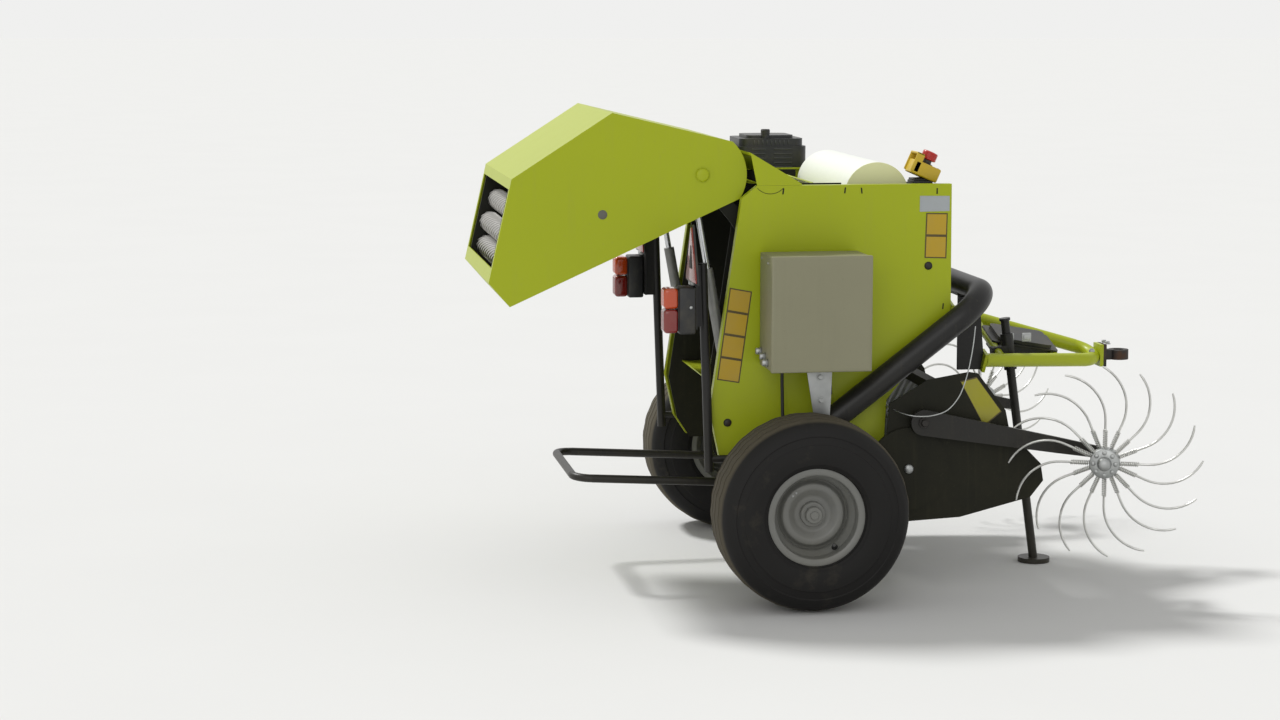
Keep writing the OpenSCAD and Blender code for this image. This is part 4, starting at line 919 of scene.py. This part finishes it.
print("net roll", round(net_r * 2, 3), "m across,", len(wound.data.polygons), "faces")

# %% Stop switch: yellow box, guard, mushroom and foot
stop_lean = math.radians(24)
stop_at = Matrix.Translation((ahead(322), -0.262, 0.992)) @ Matrix.Rotation(stop_lean, 4, "Y")
housing = block((-0.034, -0.034, 0), (0.034, 0.034, 0.034), 0.004, 4)
edit()
pick(housing, lambda c, n: n.z > 0.99, "FACE")
bpy.ops.mesh.inset(thickness=0.004, depth=-0.0008)
done()
guard_parts = [block((-0.038, y - 0.0025, 0.004), (-0.018, y + 0.0025, 0.052), 0.002)
               for y in (-0.0315, 0.0315)]
guard_parts.append(block((-0.038, -0.034, 0.047), (-0.018, 0.034, 0.052), 0.002))
stem_section = [(0, 0.030), (0.0160, 0.030), (0.0168, 0.031), (0.0168, 0.036), (0.0110, 0.038),
                (0.0110, 0.0455), (0, 0.0455)]
stem = lathe(stem_section, (0, 0, 0), 32, (0, 0, 1))
mushroom_section = [(0, 0.0445), (0.0150, 0.0445), (0.0188, 0.0462)]
for i in range(4):
    z = 0.0475 + i * 0.0034
    mushroom_section += [(0.0190, z), (0.0190, z + 0.0018), (0.0180, z + 0.0022), (0.0180, z + 0.0032)]
mushroom_section += [(0.0190, 0.0614), (0.0184, 0.0636), (0.0165, 0.0652), (0.0110, 0.0659), (0, 0.0660)]
mushroom = lathe(mushroom_section, (0, 0, 0), 48, (0, 0, 1))
bolts = [copied(dome_start, Matrix.Translation((x, y, 0.0338)) @ Matrix.Scale(0.3, 4))
         for x in (-0.026, 0.026) for y in (-0.026, 0.026)]
switch_set = [(joined([housing] + guard_parts), "stop_box", switch_yellow),
              (joined([stem] + bolts), "stop_stem", black_plastic),
              (mushroom, "stop_mushroom", switch_red)]
for piece, name, finish in switch_set:
    piece.data.transform(stop_at)
    keep(piece, name, finish, "root", "stop_yellow", smooth=35)
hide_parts("stop_switch")
foot_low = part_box("net_tray")[0][2] + 0.0033
foot_block = block((ahead(298), -0.292, foot_low), (ahead(346), -0.232, 0.985), 0.002)
saddle = block((ahead(300), -0.288, 0.983), (ahead(344), -0.236, 0.990), 0.0015)
keep(joined([foot_block, saddle]), "stop_foot", black_paint, "root", "frame_black")
print("stop switch up to z", round(max(v.co.z for v in mushroom.data.vertices), 3))

# %% [markdown]
# ## Stickers, plates, slots and bolts on the panels
# The stickers and plates stay blank: plain yellow film with a thin dark edge line, and one pale plate.
# They are thin sheets a few tenths of a millimetre off the panel, with a finish of their own. Short slots
# under the top edge and one more near the front edge, drawn as thin sheets of painted shade, and domed
# bolts show where the panel is fixed.

# %% Blank stickers and plates
sticker = plastic("Yellow film", (190, 156, 22), (178, 146, 20), 0.4, 400.0, 0.2)
sticker_edge = plastic("Dark edge line", (84, 70, 20), (70, 60, 18), 0.5, 400.0, 0.2)
pale_film = plastic("Pale film", (170, 176, 178), (160, 166, 170), 0.4, 400.0, 0.2)
film_thick = 0.0004


def label(name, corners, y, film, border, body, rows=1):
    """A blank label between four corners in the side view: a thin dark sheet with paler sheets on it."""
    back = sheet(corners, y, film_thick)
    parts, (a, b, c, d) = [], [Vector(corner) for corner in corners]
    for i in range(rows):
        left = [a.lerp(d, i / rows), a.lerp(d, (i + 1) / rows)]
        right = [b.lerp(c, i / rows), b.lerp(c, (i + 1) / rows)]
        middle = (left[0] + left[1] + right[0] + right[1]) / 4
        points = [middle + (p - middle) * (1 - border / max((p - middle).length, 1) * 1.4)
                  for p in (left[0], right[0], right[1], left[1])]
        parts.append(sheet([tuple(p) for p in points], y - film_thick, 0.0003))
    keep(back, name + "_edge", film if film is pale_film else sticker_edge, body, "paint", smooth=0)
    return keep(joined(parts), name, film, body, "paint", smooth=0)


skin_y = panel_face - 0.0002
label("label_column", [(-159, 739), (-105, 729), (-135, 510), (-189, 519)], skin_y, sticker, 3.0, "root", 4)
label("label_pair", [(318, 911), (371, 910), (369, 801), (315, 803)], skin_y, sticker, 3.0, "root", 2)
label("plate_pale", [(302, 952), (375, 951), (375, 915), (302, 914)], skin_y, pale_film, 2.0, "root")
print("labels on y", round(skin_y, 4))

# %% Slots and panel bolts
# Each slot is a thin dark sheet on the panel, not a cut: painted shade where the slot's opening would be.
painted_gap_shade = plastic("Slot shadow", (16, 17, 12), (12, 12, 10), 0.9, 300.0, 0.05)
slots = []
slot_half, slot_up = 1.6, 7
for x, z, lean in ((-32, 966, 6), (118, 967, 5), (160, 966, -5), (344, 963, 0), (362, 686, 4)):
    top_x = x + lean * 0.3
    outline = [(x - slot_half, z - slot_up), (x + slot_half, z - slot_up),
               (top_x + slot_half, z + slot_up), (top_x - slot_half, z + slot_up)]
    slots.append(sheet(outline, panel_face - 0.0001, 0.0004))
keep(joined(slots), "panel_slots", painted_gap_shade, "root", "paint", smooth=0)
right_places = [(325, 784), (-163, 415)]
left_places = [(327, 780), (-160, 415), (327, 905), (-150, 905)]
for name, places, way in (("panel_domes", right_places, -1), ("panel_domes_left", left_places, 1)):
    feet = [(ahead(x), -way * panel_face, z / 1000) for x, z in places]
    fasteners(name, dome_start, feet, (0, way, 0), "root", 1.25, forged)
print("panel bolts", len(right_places) + len(left_places))

# %% [markdown]
# ## Baling rollers
# The rollers of the chamber are steel tubes with pressed ribs that run round them in a slow screw, which
# gives an even grip. The ribbed outline is drawn once as a ring, extruded along the roller and turned a
# little at every step. The shaft is spun, and each roller gets its own copy at the middle of its solid.

# %% One ribbed drum and its shaft, then a copy for each roller
ribs, drum_half, drum_steps, drum_twist = 11, 0.2548, 40, 7.0
shaft_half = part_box("gate_roller_1")[1][1]
clear()
bpy.ops.mesh.primitive_circle_add(vertices=ribs * 4, radius=0.025)
drum = bpy.context.object
rib_points = [(r, math.radians(i * 360 / ribs + a)) for i in range(ribs)
              for r, a in ((0.0245, 0), (0.0268, 3), (0.0268, 12), (0.0245, 15))]
for vertex, (r, a) in zip(drum.data.vertices, rib_points):
    vertex.co = Vector((r * math.cos(a), -drum_half, r * math.sin(a)))
edit()
for _ in range(drum_steps):
    pull((0, 2 * drum_half / drum_steps, 0))
    bpy.ops.transform.rotate(value=drum_twist / drum_steps, orient_axis="Y", center_override=(0, 0, 0))
bpy.ops.mesh.select_all(action="SELECT")
bpy.ops.mesh.fill_holes(sides=0)
outwards()
done()
shaft_section = [(0, -shaft_half), (0.0092, -shaft_half), (0.0100, -shaft_half + 0.0008),
                 (0.0100, shaft_half - 0.0008), (0.0092, shaft_half), (0, shaft_half)]
shaft = lathe(shaft_section, (0, 0, 0), 24)
drum = joined([drum, shaft])
for name in sorted(n for n in nodes if "_roller_" in n):
    low, high = box_of(name)
    roller = copied(drum, Matrix.Translation((low + high) / 2))
    keep(roller, "ribbed_" + name, roller_steel, name, "roller_steel", smooth=32)
    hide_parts(name)
print("roller", len(drum.data.polygons), "faces, shaft to y", round(shaft_half, 4))
bpy.data.objects.remove(drum)

# %% [markdown]
# ## Small things on the sheet metal
# The hinge pin's end is hidden under a pressed cap in the body colour, a grey plug fills a hole in the
# tailgate's side, and a thin dark line of painted shade shows where the hood's cheek is folded into the
# side panel.

# %% Hinge caps, plugs and the hood's seam
gate_face = -0.310
hinge_section = [(0, 0.0086), (0.0105, 0.0083), (0.0145, 0.0068), (0.0162, 0.0042), (0.0166, 0.0002),
                 (0.0156, 0.0002), (0.0148, 0.0045), (0.0132, 0.0066), (0, 0.0070)]
hinge_at, plug_at = (ahead(-220), gate_face, 1.005), (ahead(-459), gate_face, 0.9135)
hinge_cap = lathe(hinge_section, hinge_at, 40, (0, -1, 0))
both_sides(hinge_cap, "hinge_cap", lime, "tailgate", "paint")
grey_plug = plastic("Grey plug", (96, 96, 88), (84, 84, 78), 0.5, 400.0, 0.2)
plug_section = [(0, 0.0024), (0.0070, 0.0022), (0.0100, 0.0016), (0.0112, 0.0002), (0.0108, 0.0001),
                (0, 0.0006)]
plug = lathe(plug_section, plug_at, 32, (0, -1, 0))
both_sides(plug, "side_plug", grey_plug, "tailgate", "paint")
# The hood's seam is a thin dark sheet: painted shade in the fold, not a cut.
seam_centre, seam_r = Vector((-62, 1003)), 42
seam_turns = [math.radians(a) for a in range(222, 319, 8)]
seam = [tuple(seam_centre + Vector((math.cos(a), math.sin(a))) * r)
        for r, turns in ((seam_r, seam_turns), (seam_r + 1.3, list(reversed(seam_turns)))) for a in turns]
both_sides(sheet(seam, panel_face - 0.0001, 0.0003), "hood_seam", painted_gap_shade, "root", "paint", smooth=0)
print("caps at", round(hinge_at[0], 4), "plug at", round(plug_at[0], 4))

# %% [markdown]
# ## Engine cover
# The air cleaner's cover has two columns of hooded slots on its sides and a row of short slots under its
# lid. Each hood is a little ridge that catches the light, and its paler grey is a painted highlight. The fan
# cowl has a ring of ribs round the pull starter, with the same painted highlight, and its grip.

# %% Hooded slots, knob and starter
cover_low, cover_high = box_of("engine_cleaner")
hoods, rows, short_slots = [], 5, 9
for y, out in ((cover_low.y, -1), (cover_high.y, 1)):
    for left, right in ((32, 70), (91, 140)):
        for i in range(rows):
            z = 0.9775 + i * 0.0118
            near, far = sorted((y - out * 0.001, y + out * 0.0028))
            hoods.append(block((ahead(left), near, z), (ahead(right), far, z + 0.0042), 0.0013, 2))
    for i in range(short_slots):
        step_y, start_x = y - out * 0.008, 38 + i * 11.4
        near, far = sorted((step_y - out * 0.001, step_y + out * 0.0018))
        hoods.append(block((ahead(start_x), near, 1.0385), (ahead(start_x + 4), far, 1.0505), 0.0009, 2))
# The ridges are paler than the cover: this grey is a painted highlight, not the plastic's own colour.
painted_ridge_highlight = plastic("Cover ridges", (62, 64, 64), (50, 52, 52), 0.42, 500.0, 0.3)
keep(joined(hoods), "cover_hoods", painted_ridge_highlight, "root", "engine_black", smooth=30)
knob_section = [(0, 0.0005), (0.0118, 0.0005), (0.0125, 0.0020), (0.0118, 0.0040), (0.0125, 0.0060),
                (0.0118, 0.0080), (0.0125, 0.0100), (0.0110, 0.0125), (0.0050, 0.0132), (0, 0.0132)]
knob = lathe(knob_section, (ahead(74), 0.397, cover_high.z - 0.0133), 28, (0, 0, 1))
keep(knob, "cover_knob", black_plastic, "root", "engine_black")
cowl_low, cowl_high = box_of("engine_shroud")
cowl = Vector(((cowl_low.x + cowl_high.x) / 2, cowl_high.y - 0.008, (cowl_low.z + cowl_high.z) / 2))
rib, rib_count = block((0.035, 0, -0.0016), (0.060, 0.0022, 0.0016), 0.0008, 2), 24
turns = [Matrix.Rotation(math.tau * i / rib_count, 4, "Y") for i in range(rib_count)]
ring = [copied(rib, Matrix.Translation(cowl) @ turn) for turn in turns]
bpy.data.objects.remove(rib)
# The starter ribs carry the same painted highlight as the cover's ridges.
keep(joined(ring), "starter_ribs", painted_ridge_highlight, "root", "engine_black", smooth=30)
grip = block((cowl.x - 0.022, cowl_high.y - 0.018, cowl_high.z - 0.030),
             (cowl.x + 0.022, cowl_high.y - 0.004, cowl_high.z - 0.018), 0.005, 4)
keep(grip, "starter_grip", black_plastic, "root", "engine_black")
gusset_outline = [(0.3402, 0.6995), (0.3402, 0.585), (0.545, 0.6995)]
gussets = [plate([(ahead(x), y, z) for y, z in gusset_outline], (0.005, 0, 0), 0.0008, 1)
           for x in (-60, 180)]
keep(joined(gussets), "deck_gussets", lime, "root", "paint", smooth=30)
print("cover", cover_low, cover_high, "ridges", 2 * (2 * rows + short_slots))

# %% [markdown]
# ## Pickup, drawbar and oil box
# The pickup's side carries a blank yellow plate, the bolt on the reel's axle and the nut on the arm's
# pin. The towing eye is bolted to the drawbar, and the oil box has two bright catches.

# %% Plate, bolts and catches
plate_film = plastic("Pickup plate", (164, 158, 24), (150, 146, 22), 0.42, 400.0, 0.25)
label("pickup_plate", [(396, 509), (436, 519), (500, 433), (457, 398)], -0.3842, plate_film, 2.5, "pickup")
paired_bolts = [("axle_bolts", dome_start, (270, 0.3918, 0.300), "pickup", 1.45, galvanised),
                ("pivot_nuts", bolt_start, (300, 0.4168, 0.415), "pickup", 1.5, forged),
                ("lift_pin_nuts", bolt_start, (190, 0.3882, 0.315), "root", 1.7, forged)]
for name, start, (x, y, z), body, scale, finish in paired_bolts:
    for side, way in (("", -1), ("_left", 1)):
        fasteners(name + side, start, [(ahead(x), way * y, z)], (0, way, 0), body, scale, finish)
eye_top = box_of("towing_eye")[1].z
eye_places = [(ahead(886), y, eye_top) for y in (-0.014, 0.014)]
side_places = [(ahead(840), -0.028, z) for z in (0.503, 0.527)]
fasteners("eye_bolts", bolt_start, eye_places, (0, 0, 1), "root", 1.0)
fasteners("eye_bolts_side", bolt_start, side_places, (0, -1, 0), "root", 0.9)
oil_low, oil_high = box_of("oil_box")
catches = []
for x in (oil_low.x + 0.030, oil_low.x + 0.075):
    catches.append(block((x, oil_low.y - 0.0035, oil_high.z - 0.034),
                         (x + 0.024, oil_low.y + 0.001, oil_high.z - 0.012), 0.0012))
    catches.append(block((x + 0.004, oil_low.y - 0.0060, oil_high.z - 0.030),
                         (x + 0.020, oil_low.y - 0.0030, oil_high.z - 0.016), 0.0012))
keep(joined(catches), "box_catches", galvanised, "root", "galvanised", smooth=30)
print("oil box", oil_low, oil_high)

# %% [markdown]
# ## Cables and the safety chain
# Two black cables drop from the control box: one goes down behind the wheel into the frame's leg, and the
# other into the frame tube under the box. A light chain hangs from the frame tube to the side panel. Each
# is a curve through the points of its route with a round section, and its length is measured along the
# curve.

# %% Curves with a round section
def cord(name, points, radius, finish, **facts):
    """A cord through points in metres, given as [mm ahead of the axle, y, z]."""
    line = bpy.data.curves.new(name, "CURVE")
    line.dimensions = "3D"
    line.bevel_depth = radius
    line.bevel_resolution = 3
    line.resolution_u = 6
    line.use_fill_caps = True
    spline = line.splines.new("POLY")
    route = smooth_route([Vector((ahead(x), y, z)) for x, y, z in points])
    spline.points.add(len(route) - 1)
    for place, point in zip(route, spline.points):
        point.co = (*place, 1.0)
    piece = bpy.data.objects.new(name, line)
    bpy.context.collection.objects.link(piece)
    line.materials.append(finish)
    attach(piece, "root")
    length = sum((b - a).length for a, b in zip(route, route[1:]))
    print(name, round(length, 4), "m long")
    return piece


def smooth_route(points, steps=5):
    """Points on a Catmull-Rom curve through the given ones."""
    ends = [2 * points[0] - points[1]] + points + [2 * points[-1] - points[-2]]
    route = []
    for p0, p1, p2, p3 in zip(ends, ends[1:], ends[2:], ends[3:]):
        for i in range(steps):
            t = i / steps
            route.append(0.5 * (2 * p1 + (p2 - p0) * t + (2 * p0 - 5 * p1 + 4 * p2 - p3) * t * t
                                + (3 * p1 - p0 - 3 * p2 + p3) * t ** 3))
    return route + [points[-1]]


# %% Two cables and the chain
cable_black = plastic("Cable sheath", (22, 22, 22), (18, 18, 18), 0.5, 700.0, 0.1)
rear_route = [(-36, -0.365, 0.557), (-36, -0.365, 0.515), (-35, -0.365, 0.470), (-34, -0.366, 0.430),
              (-30, -0.367, 0.398), (-20, -0.368, 0.372), (-8, -0.370, 0.355)]
front_route = [(81, -0.364, 0.557), (81, -0.364, 0.535), (81, -0.365, 0.510), (82, -0.367, 0.482)]
chain_route = [(429, -0.392, 0.642), (420, -0.408, 0.600), (409, -0.419, 0.555), (397, -0.425, 0.515),
               (380, -0.431, 0.478), (352, -0.435, 0.448), (318, -0.436, 0.436), (286, -0.436, 0.434),
               (258, -0.431, 0.437), (238, -0.402, 0.442), (223, -0.345, 0.447)]
cord("cable_rear", rear_route, 0.004, cable_black, stiffness="medium", lay="taut")
cord("cable_front", front_route, 0.004, cable_black, stiffness="medium", lay="taut")
cord("safety_chain", chain_route, 0.0016, galvanised, stiffness="limp", lay="hanging")

for start in (bolt_start, dome_start):
    bpy.data.objects.remove(start)
